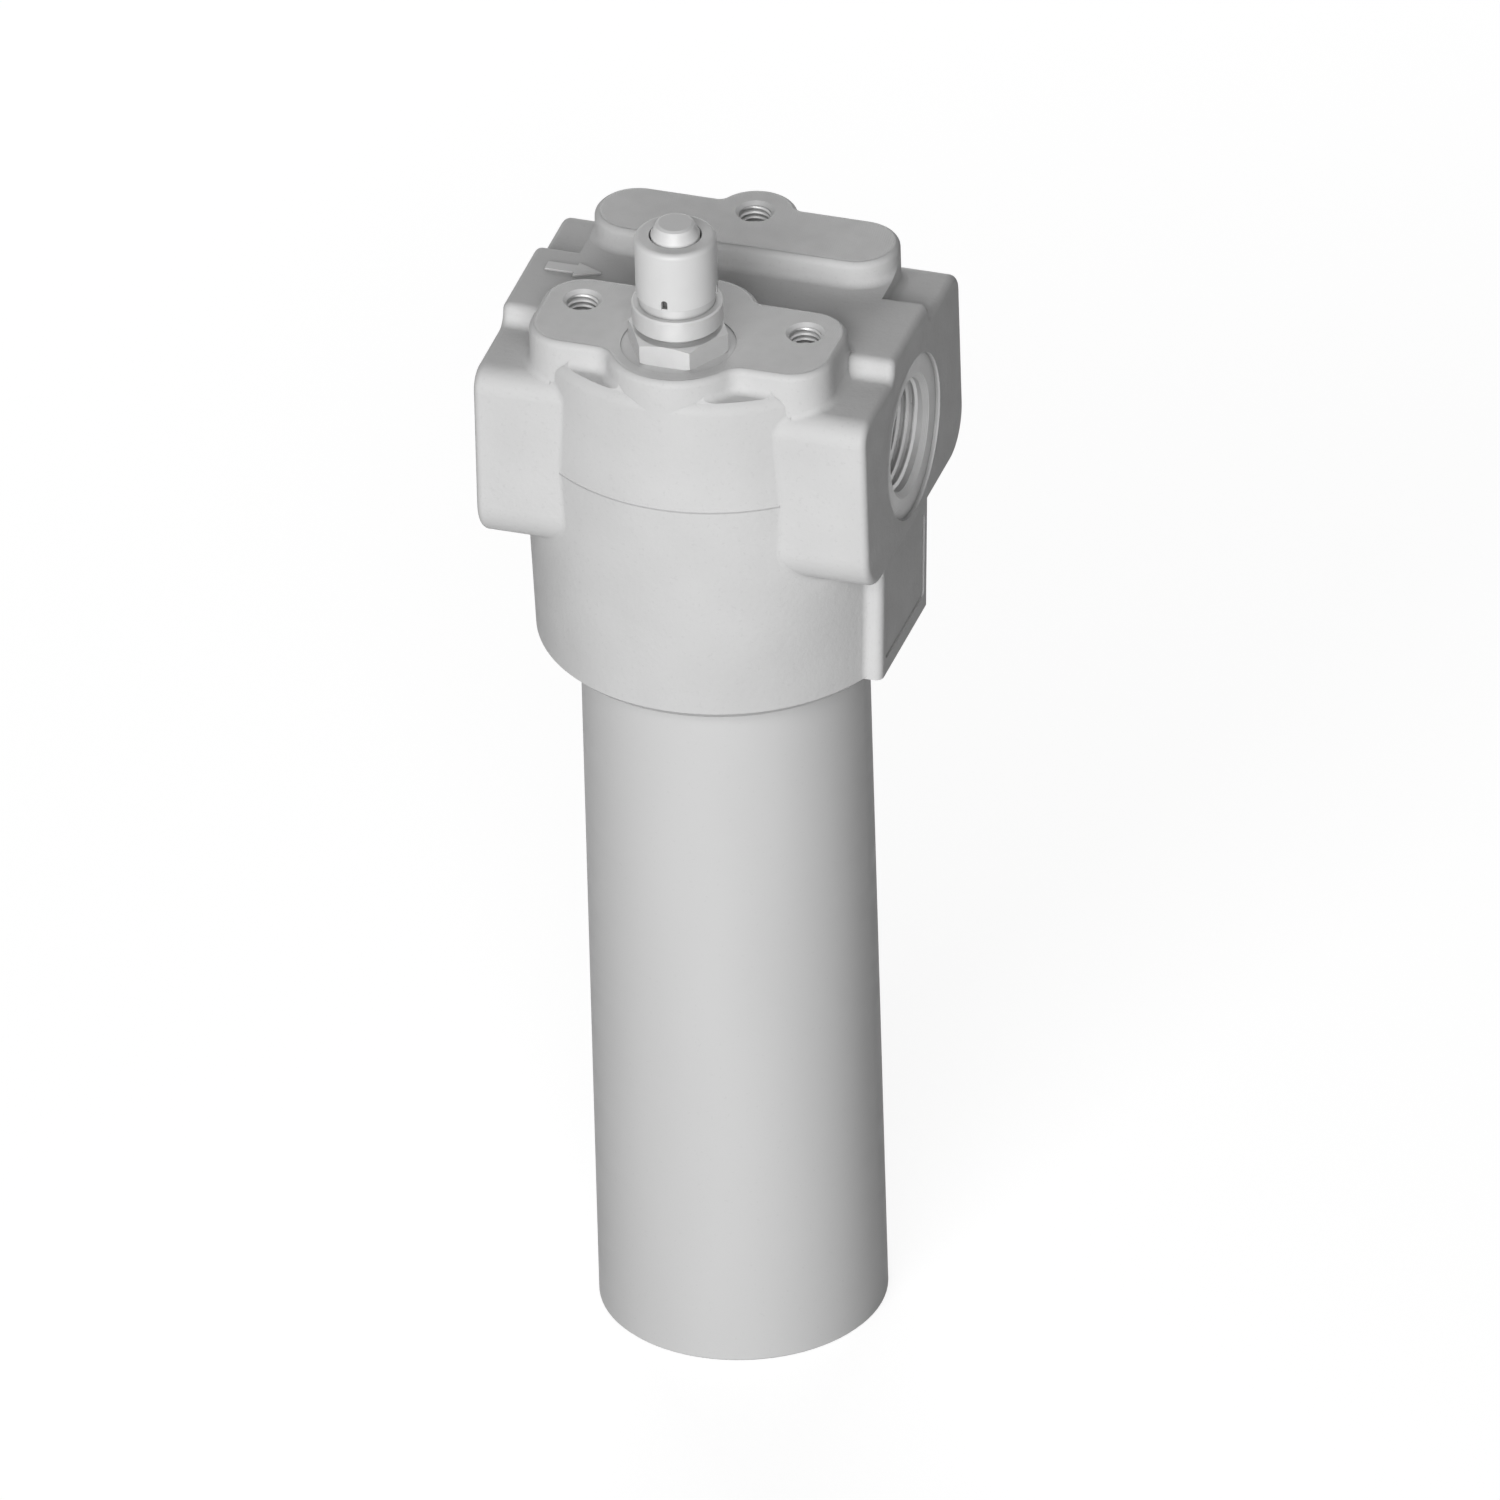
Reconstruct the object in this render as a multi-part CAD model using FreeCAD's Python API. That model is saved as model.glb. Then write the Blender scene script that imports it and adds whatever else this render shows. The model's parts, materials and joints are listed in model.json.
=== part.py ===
# Inline high-pressure oil filter: cast head, screwed-on bowl, filter element and clogging indicator.
# Millimetres, +Z up, +X in the direction of flow. The origin is the centre of the bowl's flat bottom.
import FreeCAD
import Part
import math
import os

Vec = FreeCAD.Vector
UP = Vec(0, 0, 1)
ALONG_X = Vec(1, 0, 0)
ALONG_Y = Vec(0, 1, 0)

# Bowl: a turned steel cup with its thread and seal nose at the upper end
bowl_r = 37.5
bowl_wall = 7.5
bowl_floor = 12.0
bowl_floor_round = 8.0
bowl_edge_break = 0.4
bowl_shown_length = 203.9
thread_lead = 2.0
thread_depth = 0.8
thread_undercut = 4.0
undercut_depth = 1.0
nose_step = 2.5
nose_length = 12.0
nose_chamfer = 1.2
running_gap = 0.08
shoulder_gap = 0.5

# Seal rings on the bowl's nose
nose_groove_depth = 2.6
nose_groove_start = 3.2
ring_gap = 0.15
backup_ring_width = 1.4
ring_side_gap = 0.2
ring_sides = 10

# Head: round body with draft from the parting line
head_wall = 13.5
draft = math.radians(2.0)
port_height = 65.6
head_bottom_chamfer = 2.1
rim_drop = 3.5
rim_round = 4.7
end_cut_inset = 1.175
mouth_chamfer = 0.8

# Head: block that carries both ports
block_proud = 2.35
block_inset = 9.66
block_below = 26.0
block_above = 26.7
block_top_round = 6.0
block_bottom_round = 12.0
block_end_round = 2.0
casting_round = 2.0

# Head: platform and the band over the ports
platform_rise = 5.2
platform_inset = 9.9
band_half_y = 15.45
band_top_round = 2.5

# Head: raised pads on the platform
pad_rise = 6.8
pad_edge_round = 2.0
front_pad_inset = 2.34
front_pad_width = 32.9
front_pad_corner = 11.0
boss_inset = 8.1
boss_r = 19.2
boss_blend = 5.5
rear_bulge_inset = 7.6
rear_bulge_r = 16.0
back_pad_inset = 1.94
back_pad_r = 11.1
back_bulge_r = 11.2
bulge_blend = 2.2

# Head: flat with a bare sunken field on the outlet side
flat_half_y = 20.0
flat_proud = 0.35
flat_bottom_gap = 1.8
flat_round = 2.0
foot_share = 0.7
field_half_y = 16.5
field_bottom = 6.1
field_top_gap = 8.0
field_depth = 0.5
field_round = 2.0

# Head: cast flow arrow
arrow_rise = 0.7
arrow_y = 5.3
arrow_inset = 5.85
arrow_length = 15.0
arrow_head_length = 7.0
arrow_shaft = 3.4
arrow_head = 6.0

# Ports with G 1 threads
port_core_r = 15.15
port_chamfer = 1.45
port_thread_depth = 20.0
port_spotface_r = 22.2
port_spotface_depth = 1.2
passage_r = 12.5
passage_rise = 20.1
inlet_land = 5.2
chamber_land = 0.3
passage_overrun = 2.0

# Mounting holes with M10 threads
mount_edge = 16.0
mount_core_r = 4.25
mount_depth = 18.0
mount_chamfer = 0.9
drill_point = 0.6

# Chamber above the bowl, and the nipple that carries the element
chamber_height = 8.0
nipple_r = 12.0
nipple_bore_r = 9.0
nipple_thread_length = 12.5
nipple_hex = 30.0
nipple_hex_height = 4.0
nipple_length = 24.0
nipple_lead_in = 1.5
nipple_thread_room = 0.5
thread_gap = 0.08
spring_end_gap = 0.1

# Drawing of the coil springs
coil_steps = 14
wire_sides = 6

# Filter element
element_gap = 3.5
element_floor_gap = 12.0
cap_plate = 3.0
cap_wall = 0.9
cap_rim = 9.0
cap_seat_gap = 0.1
cap_break = 1.0
hub_r = 17.0
hub_above = 4.0
hub_below = 12.0
element_ring = 2.6
element_ring_drop = 1.5
hub_wall = 1.6
core_wall = 1.2
core_hole_r = 2.6
core_hole_rows = 7
core_hole_columns = 6
core_end_margin = 10.0
pleat_count = 40
pleat_sheet = 0.6
pleat_fold = 0.9
mitre_limit = 0.3

# Bypass valve in the element's lower cap
bypass_hole_r = 6.5
bypass_head_r = 8.4
bypass_head_height = 3.0
bypass_stem_r = 2.4
bypass_travel = 5.0
bypass_cage_height = 30.0
bypass_cage_wall = 1.2
bypass_cage_top = 2.4
bypass_window_half = 5.0
bypass_cage_bridge = 2.0
bypass_seat_gap = 0.1
bypass_wire_r = 0.8
bypass_turns = 5
poppet_lead = 1.0
stem_break = 0.5

# Clogging indicator: port in the head
indicator_spotface_r = 15.1
indicator_spotface_depth = 0.3
indicator_port_r = 10.05
indicator_port_depth = 17.0
indicator_low_r = 8.1
indicator_low_depth = 9.0
gallery_r = 1.5
gallery_reach = 0.8

# Clogging indicator: body
hex_across = 23.6
hex_height = 6.15
hex_chamfer = 0.9
hex_base_chamfer = 0.35
hex_top_inset = 0.1
neck_r = 9.2
neck_height = 1.65
collar_r = 11.92
collar_height = 6.0
collar_break = 0.4
stub_base_r = 10.0
stub_base_height = 3.0
stub_r = 9.2
stub_height = 5.8
stem_clearance = 0.06
stem_thread_length = 13.0
stem_ring = 2.0
stem_ring_rise = 0.8
stem_chamfer = 0.8
stem_end_gap = 1.5
seal_recess = 1.6
seal_section_r = 0.7
piston_bore_r = 5.5
piston_top_wall = 2.0
button_bore_r = 7.2
button_bore_depth = 10.0
oilway_r = 0.9
oilway_drop = 1.6

# Clogging indicator: piston and its spring
piston_length = 16.0
piston_gap = 0.05
piston_stop_gap = 0.2
piston_chamfer = 0.5
piston_land = 5.0
piston_relief = 0.6
magnet_height = 2.5
magnet_gap = 0.02
magnet_wall = 0.8
piston_magnet_r = 4.0
plug_height = 3.5
plug_inset = 0.5
plug_bore_r = 1.5
piston_wire_r = 0.4
piston_turns = 6

# Clogging indicator: cap and button
cap_r = 10.73
cap_height = 16.9
cap_top = 1.8
cap_hole_r = 6.95
cap_edge_round = 1.5
cap_fit = 0.1
slot_width = 1.66
slot_height = 2.9
button_r = 6.44
button_shoulder = 0.4
button_cone_r = 5.47
button_cone_height = 1.9
button_top_r = 4.3
button_top_height = 1.4
button_flange_r = 8.2
button_flange_height = 2.0
button_flange_rise = 0.5
button_stem_r = 4.6
button_rest_gap = 0.3
button_spring_r = 6.0
button_wire_r = 0.35
button_turns = 5

# Cutters run this far past a face, and faces this near to each other are taken as one
overrun = 1.0
match_gap = 0.02

# Radii and places across the axis that follow from the sizes above
bowl_bore_r = bowl_r - bowl_wall
nose_r = bowl_r - nose_step
bowl_neck_r = bowl_r - undercut_depth
seal_bore_r = nose_r + running_gap
thread_bore_r = bowl_r + running_gap
element_r = bowl_bore_r - element_gap
head_r = bowl_r + head_wall
block_half_x = head_r + block_proud
block_half_y = head_r - block_inset
platform_half_x = head_r - platform_inset
front_pad_y0 = front_pad_inset - block_half_y
front_pad_y1 = front_pad_y0 + front_pad_width
boss_y = front_pad_y0 + boss_inset
rear_bulge_y = front_pad_y1 - rear_bulge_inset
back_pad_y1 = block_half_y - back_pad_inset
back_pad_y0 = back_pad_y1 - 2 * back_pad_r
mount_pcd = 2 * (head_r - mount_edge)
inlet_drop_r = (seal_bore_r - nipple_r - inlet_land - chamber_land) / 2
inlet_drop_x = -(nipple_r + inlet_land + inlet_drop_r)

# Heights that follow from the sizes above
head_bottom_z = bowl_shown_length
port_z = head_bottom_z + port_height
ceiling_z = port_z - passage_rise
nose_top_z = ceiling_z - chamber_height
shoulder_z = nose_top_z - nose_length
head_step_z = shoulder_z + shoulder_gap
thread_start_z = head_bottom_z + thread_lead
thread_end_z = head_step_z - thread_undercut
block_bottom_z = port_z - block_below
block_top_z = port_z + block_above
platform_z = block_top_z + platform_rise
pad_top_z = platform_z + pad_rise
seat_z = pad_top_z - indicator_spotface_depth
hub_top_z = ceiling_z - nipple_hex_height - hub_above
cap_top_z = hub_top_z - hub_above
element_bottom_z = bowl_floor + element_floor_gap
nipple_bottom_z = ceiling_z - nipple_length
hex_top_z = seat_z + hex_height
collar_bottom_z = hex_top_z + neck_height
collar_top_z = collar_bottom_z + collar_height
cap_bottom_z = collar_top_z + stub_base_height
stub_top_z = cap_bottom_z + stub_height
cap_top_edge_z = cap_bottom_z + cap_height
button_floor_z = stub_top_z - button_bore_depth
piston_ceiling_z = button_floor_z - piston_top_wall
stem_low_z = seat_z - indicator_port_depth - indicator_low_depth + stem_end_gap
groove_bottom_r = nose_r - nose_groove_depth
core_r = nipple_r + ring_gap + hub_wall + cap_seat_gap + core_wall


def wall_r(z):
    """Radius of the drafted round body at a height."""
    return head_r - math.tan(draft) * abs(z - port_z)


def cylinder(r, z0, z1, x=0.0, y=0.0):
    return Part.makeCylinder(r, z1 - z0, Vec(x, y, z0), UP)


def cylinder_x(r, x0, x1, z):
    return Part.makeCylinder(r, x1 - x0, Vec(x0, 0, z), ALONG_X)


def cone_x(r0, r1, x0, x1, z):
    return Part.makeCone(r0, r1, abs(x1 - x0), Vec(x0, 0, z), ALONG_X * (1 if x1 > x0 else -1))


def box(x0, x1, y0, y1, z0, z1):
    return Part.makeBox(x1 - x0, y1 - y0, z1 - z0, Vec(x0, y0, z0))


def turned(points, x=0.0, y=0.0):
    """Solid turned about a vertical axis from (radius, height) points."""
    solid = flat_face([Vec(r, 0, z) for r, z in points]).revolve(Vec(0, 0, 0), UP, 360)
    solid.translate(Vec(x, y, 0))
    return solid


def ring(section_r, mid_r, z, x=0.0, y=0.0):
    """Seal ring with a many-sided section close to a circle."""
    points = []
    for i in range(ring_sides):
        angle = 2 * math.pi * (i + 0.5) / ring_sides
        points.append((mid_r + section_r * math.cos(angle), z + section_r * math.sin(angle)))
    return turned(points, x, y)


def flat_face(points):
    return Part.Face(Part.makePolygon(points + points[:1]))


def prism(wire, z0, z1):
    """Upright prism over an outline drawn at height zero."""
    face = Part.Face(wire)
    face.translate(Vec(0, 0, z0))
    return face.extrude(Vec(0, 0, z1 - z0))


def outline(points, arcs):
    """Closed outline of straight runs; arcs maps a corner's index to its rounding radius."""
    edges = []
    ends = []
    count = len(points)
    for i, point in enumerate(points):
        before = (points[i - 1] - point).normalize()
        after = (points[(i + 1) % count] - point).normalize()
        radius = arcs.get(i, 0.0)
        half = before.getAngle(after) / 2
        cut = radius / math.tan(half) if radius else 0.0
        start = point + before * cut
        end = point + after * cut
        if radius:
            inward = (before + after).normalize()
            middle = point + inward * (radius / math.sin(half) - radius)
            edges.append((i, Part.Arc(start, middle, end).toShape()))
        ends.append((start, end))
    for i in range(count):
        a = ends[i][1]
        b = ends[(i + 1) % count][0]
        if a.distanceToPoint(b) > match_gap:
            edges.append((i + 0.5, Part.makeLine(a, b)))
    return Part.Wire([edge for _, edge in sorted(edges, key=lambda item: item[0])])


def hexagon(across, z0, z1, x=0.0, y=0.0):
    """Hexagonal prism with two flats facing -Y and +Y."""
    corner = across / math.sqrt(3)
    points = []
    for i in range(7):
        angle = math.radians(60 * i)
        points.append(Vec(x + corner * math.cos(angle), y + corner * math.sin(angle), 0))
    return prism(Part.makePolygon(points), z0, z1)


def spring(mid_r, wire_r, z0, z1, turns, x=0.0, y=0.0):
    """Open coil spring between two seats at z0 and z1, skinned from one wire section to the next."""
    end = wire_r + spring_end_gap
    count = turns * coil_steps
    sections = []
    for i in range(count + 1):
        angle = 2 * math.pi * i / coil_steps
        outward = Vec(math.cos(angle), math.sin(angle), 0)
        rise = (z1 - z0 - 2 * end) * i / count
        centre = Vec(x, y, z0 + end + rise) + outward * mid_r
        section = []
        for k in range(wire_sides):
            around = 2 * math.pi * k / wire_sides
            across = outward * math.cos(around) + UP * math.sin(around)
            section.append(centre + across * wire_r)
        sections.append(section)
    faces = [flat_face(sections[0]), flat_face(sections[-1])]
    for low, high in zip(sections, sections[1:]):
        for k in range(wire_sides):
            m = (k + 1) % wire_sides
            faces.append(flat_face([low[k], low[m], high[k]]))
            faces.append(flat_face([low[m], high[m], high[k]]))
    return Part.makeSolid(Part.makeShell(faces))


def blend_circles(centre, r, line_y, side, blend, x_sign):
    """Centre and touching points of a blend between a circle and the line y = line_y.

    side is +1 or -1, the side of the line that the blend lies on; the blend is concave."""
    cy = line_y + side * blend
    dx = math.sqrt((r + blend) ** 2 - (cy - centre.y) ** 2)
    middle = Vec(centre.x + x_sign * dx, cy, 0)
    on_line = Vec(middle.x, line_y, 0)
    on_circle = centre + (middle - centre).normalize() * r
    return middle, on_line, on_circle


def arc(centre, r, start, end, through):
    """Arc about centre from start to end that passes on the side of the direction through."""
    return Part.Arc(start, centre + Vec(through).normalize() * r, end).toShape()


def pad_side(centre, r, line_y, side, blend, x_from):
    """Edges of one long pad side with a round bulge in its middle, from x_from to -x_from."""
    sign = 1 if x_from > 0 else -1
    m1, line1, circle1 = blend_circles(centre, r, line_y, side, blend, sign)
    m2, line2, circle2 = blend_circles(centre, r, line_y, side, blend, -sign)
    toward1 = (line1 + circle1) * 0.5 - m1
    toward2 = (line2 + circle2) * 0.5 - m2
    return [
        Part.makeLine(Vec(x_from, line_y, 0), line1),
        arc(m1, blend, line1, circle1, toward1),
        arc(centre, r, circle1, circle2, Vec(0, side, 0)),
        arc(m2, blend, circle2, line2, toward2),
        Part.makeLine(line2, Vec(-x_from, line_y, 0)),
    ]


def pad_end(x, y0, y1, corner, sign):
    """Edges of one pad end at x from y0 to y1, with both corners rounded."""
    direction = 1 if y1 > y0 else -1
    inner = x - sign * corner
    middle0 = Vec(inner, y0 + direction * corner, 0)
    middle1 = Vec(inner, y1 - direction * corner, 0)
    edges = [arc(middle0, corner, Vec(inner, y0, 0), Vec(x, middle0.y, 0), Vec(sign, -direction, 0))]
    if abs(middle1.y - middle0.y) > match_gap:
        edges.append(Part.makeLine(Vec(x, middle0.y, 0), Vec(x, middle1.y, 0)))
    edges.append(arc(middle1, corner, Vec(x, middle1.y, 0), Vec(inner, y1, 0), Vec(sign, direction, 0)))
    return edges


def front_pad_outline():
    y0, y1 = front_pad_y0, front_pad_y1
    x = platform_half_x
    inner = x - front_pad_corner
    front = pad_side(Vec(0, boss_y, 0), boss_r, y0, -1, boss_blend, -inner)
    rear = pad_side(Vec(0, rear_bulge_y, 0), rear_bulge_r, y1, 1, bulge_blend, inner)
    edges = front + pad_end(x, y0, y1, front_pad_corner, 1)
    edges += rear + pad_end(-x, y1, y0, front_pad_corner, -1)
    return Part.Wire(edges)


def back_pad_outline():
    y0, y1 = back_pad_y0, back_pad_y1
    x = platform_half_x
    inner = x - back_pad_r
    rear = pad_side(Vec(0, mount_pcd / 2, 0), back_bulge_r, y1, 1, bulge_blend, inner)
    edges = [Part.makeLine(Vec(-inner, y0, 0), Vec(inner, y0, 0))]
    edges += pad_end(x, y0, y1, back_pad_r, 1)
    edges += rear + pad_end(-x, y1, y0, back_pad_r, -1)
    return Part.Wire(edges)


def edges_at(shape, z):
    """Edges that lie wholly at one height."""
    found = []
    for edge in shape.Edges:
        bounds = edge.BoundBox
        if abs(bounds.ZMin - z) < match_gap and abs(bounds.ZMax - z) < match_gap:
            found.append(edge)
    return found


def pad(wire):
    """Raised pad with a rounded top edge, reaching down to the block's top."""
    solid = prism(wire, block_top_z - casting_round, pad_top_z)
    return solid.makeFillet(pad_edge_round, edges_at(solid, pad_top_z))


def pad_foot(wire):
    """Concave foot round a pad, kept only where the platform or the band carries it."""
    reach = 2 * head_r
    low = platform_z - casting_round
    high = platform_z + 2 * casting_round
    plate = box(-reach, reach, -reach, reach, low, platform_z)
    solid = plate.fuse(prism(wire, low, high)).removeSplitter()
    foot = [edge for edge in edges_at(solid, platform_z) if edge.BoundBox.DiagonalLength < reach]
    solid = solid.makeFillet(casting_round, foot)
    edge_r = rim_edge_r()
    carried = turned([
        (0, low), (edge_r, low), (edge_r, platform_z), (edge_r - casting_round, high), (0, high),
    ])
    carried = carried.common(box(-platform_half_x, platform_half_x, -reach, reach, low, high))
    flat_y = band_half_y - band_top_round
    band = box(-reach / 2, reach / 2, -flat_y, flat_y, low, high)
    return solid.common(carried.fuse([band, prism(slab_outline(), low, high)]))


def slab_outline():
    """Outline of the platform over the port block: its ends, its sides and four round corners."""
    x, y0, y1 = platform_half_x, front_pad_y0, back_pad_y1
    corners = [Vec(-x, y0, 0), Vec(x, y0, 0), Vec(x, y1, 0), Vec(-x, y1, 0)]
    return outline(corners, {0: front_pad_corner, 1: front_pad_corner, 2: back_pad_r, 3: back_pad_r})


def ledge_feet():
    """Concave feet of the platform's ends on the block's top, one round each corner."""
    solid = port_block().fuse(prism(slab_outline(), port_z, platform_z)).removeSplitter()
    low = block_top_z - block_top_round
    foot = []
    for edge in solid.Edges:
        bounds = edge.BoundBox
        in_height = bounds.ZMin > low and bounds.ZMax < block_top_z + match_gap
        if in_height and max(abs(bounds.XMin), abs(bounds.XMax)) < platform_half_x + match_gap:
            if bounds.YMin > front_pad_y0 - match_gap and bounds.YMax < back_pad_y1 + match_gap:
                foot.append(edge)
    solid = solid.makeFillet(casting_round, foot)
    inner_x = math.sqrt(head_r ** 2 - front_pad_y0 ** 2)
    outer_x = platform_half_x + casting_round + overrun
    feet = []
    for x0, x1 in ((-outer_x, -inner_x), (inner_x, outer_x)):
        for sign in (-1, 1):
            y0, y1 = sorted((sign * flat_half_y / 2, sign * (block_half_y + overrun)))
            corner = box(x0, x1, y0, y1, low + overrun / 2, block_top_z + casting_round)
            feet.append(solid.common(corner))
    return feet


def rim_edge_r():
    """Radius at which the rounded rim meets the platform."""
    return wall_r(platform_z - rim_drop) - rim_round + math.sqrt(rim_round ** 2 - rim_drop ** 2)


def round_body():
    """Drafted round body of the head, solid, with its bottom chamfer and rounded rim."""
    wall_top_z = platform_z - rim_drop
    wall_top_r = wall_r(wall_top_z)
    arc_centre = Vec(wall_top_r - rim_round, 0, wall_top_z)
    angle = math.asin(rim_drop / rim_round)
    rim_end = arc_centre + Vec(math.cos(angle), 0, math.sin(angle)) * rim_round
    rim_mid = arc_centre + Vec(math.cos(angle / 2), 0, math.sin(angle / 2)) * rim_round
    chamfer_z = head_bottom_z + head_bottom_chamfer
    corners = [
        Vec(0, 0, head_bottom_z),
        Vec(wall_r(chamfer_z) - head_bottom_chamfer, 0, head_bottom_z),
        Vec(wall_r(chamfer_z), 0, chamfer_z),
        Vec(head_r, 0, port_z),
        Vec(wall_top_r, 0, wall_top_z),
    ]
    edges = [Part.makeLine(a, b) for a, b in zip(corners, corners[1:])]
    edges.append(Part.Arc(corners[-1], rim_mid, rim_end).toShape())
    top = Vec(0, 0, platform_z)
    edges.append(Part.makeLine(rim_end, top))
    edges.append(Part.makeLine(top, corners[0]))
    body = Part.Face(Part.Wire(edges)).revolve(Vec(0, 0, 0), UP, 360)
    slab = prism(slab_outline(), block_top_z - casting_round, platform_z)
    inner_x = platform_half_x - end_cut_inset
    for sign in (-1, 1):
        x0, x1 = sorted((sign * inner_x, sign * 2 * head_r))
        body = body.cut(box(x0, x1, -head_r, head_r, block_top_z, platform_z + overrun))
    return body.fuse(slab)


def port_block():
    """Block along X that carries the ports, with its rounded edges."""
    y, z0, z1 = block_half_y, block_bottom_z, block_top_z
    corners = [Vec(0, -y, z0), Vec(0, y, z0), Vec(0, y, z1), Vec(0, -y, z1)]
    section = outline(
        corners,
        {0: block_bottom_round, 1: block_bottom_round, 2: block_top_round, 3: block_top_round},
    )
    face = Part.Face(section)
    face.translate(Vec(-block_half_x, 0, 0))
    return face.extrude(Vec(2 * block_half_x, 0, 0))


def port_band():
    """Raised band over both ports, with its rounded long edges and concave feet."""
    y = band_half_y
    foot = platform_rise - band_top_round
    z0, z1 = block_top_z, platform_z
    low = z0 - casting_round
    k = math.sqrt(0.5)
    edges = []
    for sign in (1, -1):
        top_c = Vec(0, sign * (y - band_top_round), z1 - band_top_round)
        foot_c = Vec(0, sign * (y + foot), z0 + foot)
        start = Vec(0, top_c.y, z1)
        middle = top_c + Vec(0, sign * k, k) * band_top_round
        joint = Vec(0, sign * y, z0 + foot)
        foot_middle = foot_c + Vec(0, -sign * k, -k) * foot
        end = Vec(0, foot_c.y, z0)
        side = [
            Part.Arc(start, middle, joint).toShape(),
            Part.Arc(joint, foot_middle, end).toShape(),
            Part.makeLine(end, Vec(0, end.y, low)),
        ]
        edges.append(side)
    outer = band_half_y + foot
    top = Part.makeLine(Vec(0, -(y - band_top_round), z1), Vec(0, y - band_top_round, z1))
    bottom = Part.makeLine(Vec(0, outer, low), Vec(0, -outer, low))
    wire = Part.Wire(Part.sortEdges([top] + edges[0] + [bottom] + edges[1])[0])
    face = Part.Face(wire)
    face.translate(Vec(-block_half_x, 0, 0))
    return face.extrude(Vec(2 * block_half_x, 0, 0))


def side_flat():
    """Drafted flat on the outlet side, from near the head's bottom into the port block."""
    z0 = head_bottom_z + flat_bottom_gap
    z1 = block_bottom_z + block_bottom_round
    x0 = wall_r(z0) + flat_proud
    x1 = wall_r(z1) + flat_proud
    corners = [Vec(x, -flat_half_y, z) for x, z in ((0, z0), (x0, z0), (x1, z1), (0, z1))]
    solid = flat_face(corners).extrude(Vec(0, 2 * flat_half_y, 0))
    upright = []
    for edge in solid.Edges:
        bounds = edge.BoundBox
        if bounds.XMin > x0 - match_gap and bounds.ZLength > flat_round:
            upright.append(edge)
    return solid.makeFillet(flat_round, upright)


def bare_field():
    """Cutter for the shallow bare field on the flat."""
    z0 = head_bottom_z + field_bottom
    slope = math.tan(draft)
    depth_x = wall_r(z0) + flat_proud - field_depth
    y, h = field_half_y, block_bottom_z - field_top_gap - z0
    corners = [Vec(0, -y, 0), Vec(0, y, 0), Vec(0, y, h), Vec(0, -y, h)]
    rounds = {i: field_round for i in range(4)}
    solid = Part.Face(outline(corners, rounds)).extrude(Vec(head_wall, 0, 0))
    solid.rotate(Vec(0, 0, 0), ALONG_Y, math.degrees(math.atan(slope)))
    solid.translate(Vec(depth_x, 0, z0))
    return solid


def flow_arrow():
    """Raised arrow in the direction of flow."""
    half_shaft, half_head = arrow_shaft / 2, arrow_head / 2
    tail_x = arrow_inset - block_half_x
    tip_x = tail_x + arrow_length
    neck_x = tip_x - arrow_head_length
    points = [
        (tail_x, half_shaft), (neck_x, half_shaft), (neck_x, half_head), (tip_x, 0.0),
        (neck_x, -half_head), (neck_x, -half_shaft), (tail_x, -half_shaft),
    ]
    corners = [Vec(x, arrow_y + y, 0) for x, y in points]
    wire = Part.makePolygon(corners + corners[:1])
    return prism(wire, platform_z - overrun, platform_z + arrow_rise)


def end_face_edges(shape):
    """Outer edges round the two port faces."""
    found = []
    for edge in shape.Edges:
        bounds = edge.BoundBox
        if abs(abs(bounds.XMin) - block_half_x) < match_gap and bounds.XLength < match_gap:
            found.append(edge)
    return found


def upright_edges_on(shape, half_y, reach_x):
    """Curved edges that stand on the planes y = half_y and y = -half_y, nearer to the axis than reach_x."""
    found = []
    for edge in shape.Edges:
        bounds = edge.BoundBox
        on_plane = abs(abs(bounds.YMin) - half_y) < match_gap and bounds.YLength < match_gap
        if on_plane and bounds.ZLength > casting_round and abs(bounds.XMin) < reach_x:
            if edge.Curve.TypeId != "Part::GeomLine":
                found.append(edge)
    return found


def flat_foot_round():
    """Radius of the flat's concave foot, limited by the flat's side."""
    body_r = wall_r(head_bottom_z)
    side = body_r + flat_proud - flat_round - math.sqrt(body_r ** 2 - flat_half_y ** 2)
    return min(casting_round, foot_share * side)


def underside_edges(shape):
    """Concave corners of the block's underside with the round body."""
    found = []
    for edge in edges_at(shape, block_bottom_z):
        if edge.Curve.TypeId == "Part::GeomCircle":
            found.append(edge)
    return found


def head_outside():
    """The whole casting before any machining."""
    shape = port_block().fuse(port_band()).removeSplitter()
    shape = shape.makeFillet(block_end_round, end_face_edges(shape))
    wires = [front_pad_outline(), back_pad_outline()]
    shape = shape.fuse([round_body()] + [pad(wire) for wire in wires]).removeSplitter()
    wall_feet = upright_edges_on(shape, block_half_y, block_half_y)
    shape = shape.makeFillet(casting_round, wall_feet + underside_edges(shape))
    shape = shape.fuse(side_flat())
    shape = shape.makeFillet(flat_foot_round(), upright_edges_on(shape, flat_half_y, head_r))
    shape = shape.fuse([pad_foot(wire) for wire in wires]).removeSplitter()
    return shape.fuse(ledge_feet()).fuse(flow_arrow())


def bowl_bore():
    """Stepped bore for the bowl's thread and nose, and the chamber above it."""
    chamfer_top = head_bottom_z + mouth_chamfer
    relief_z = thread_end_z + shoulder_gap
    return turned([
        (0, head_bottom_z - overrun),
        (thread_bore_r + mouth_chamfer + overrun, head_bottom_z - overrun),
        (thread_bore_r, chamfer_top), (thread_bore_r, relief_z),
        (thread_bore_r + undercut_depth, relief_z + undercut_depth),
        (thread_bore_r + undercut_depth, head_step_z), (seal_bore_r, head_step_z),
        (seal_bore_r, ceiling_z), (0, ceiling_z),
    ])


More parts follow.
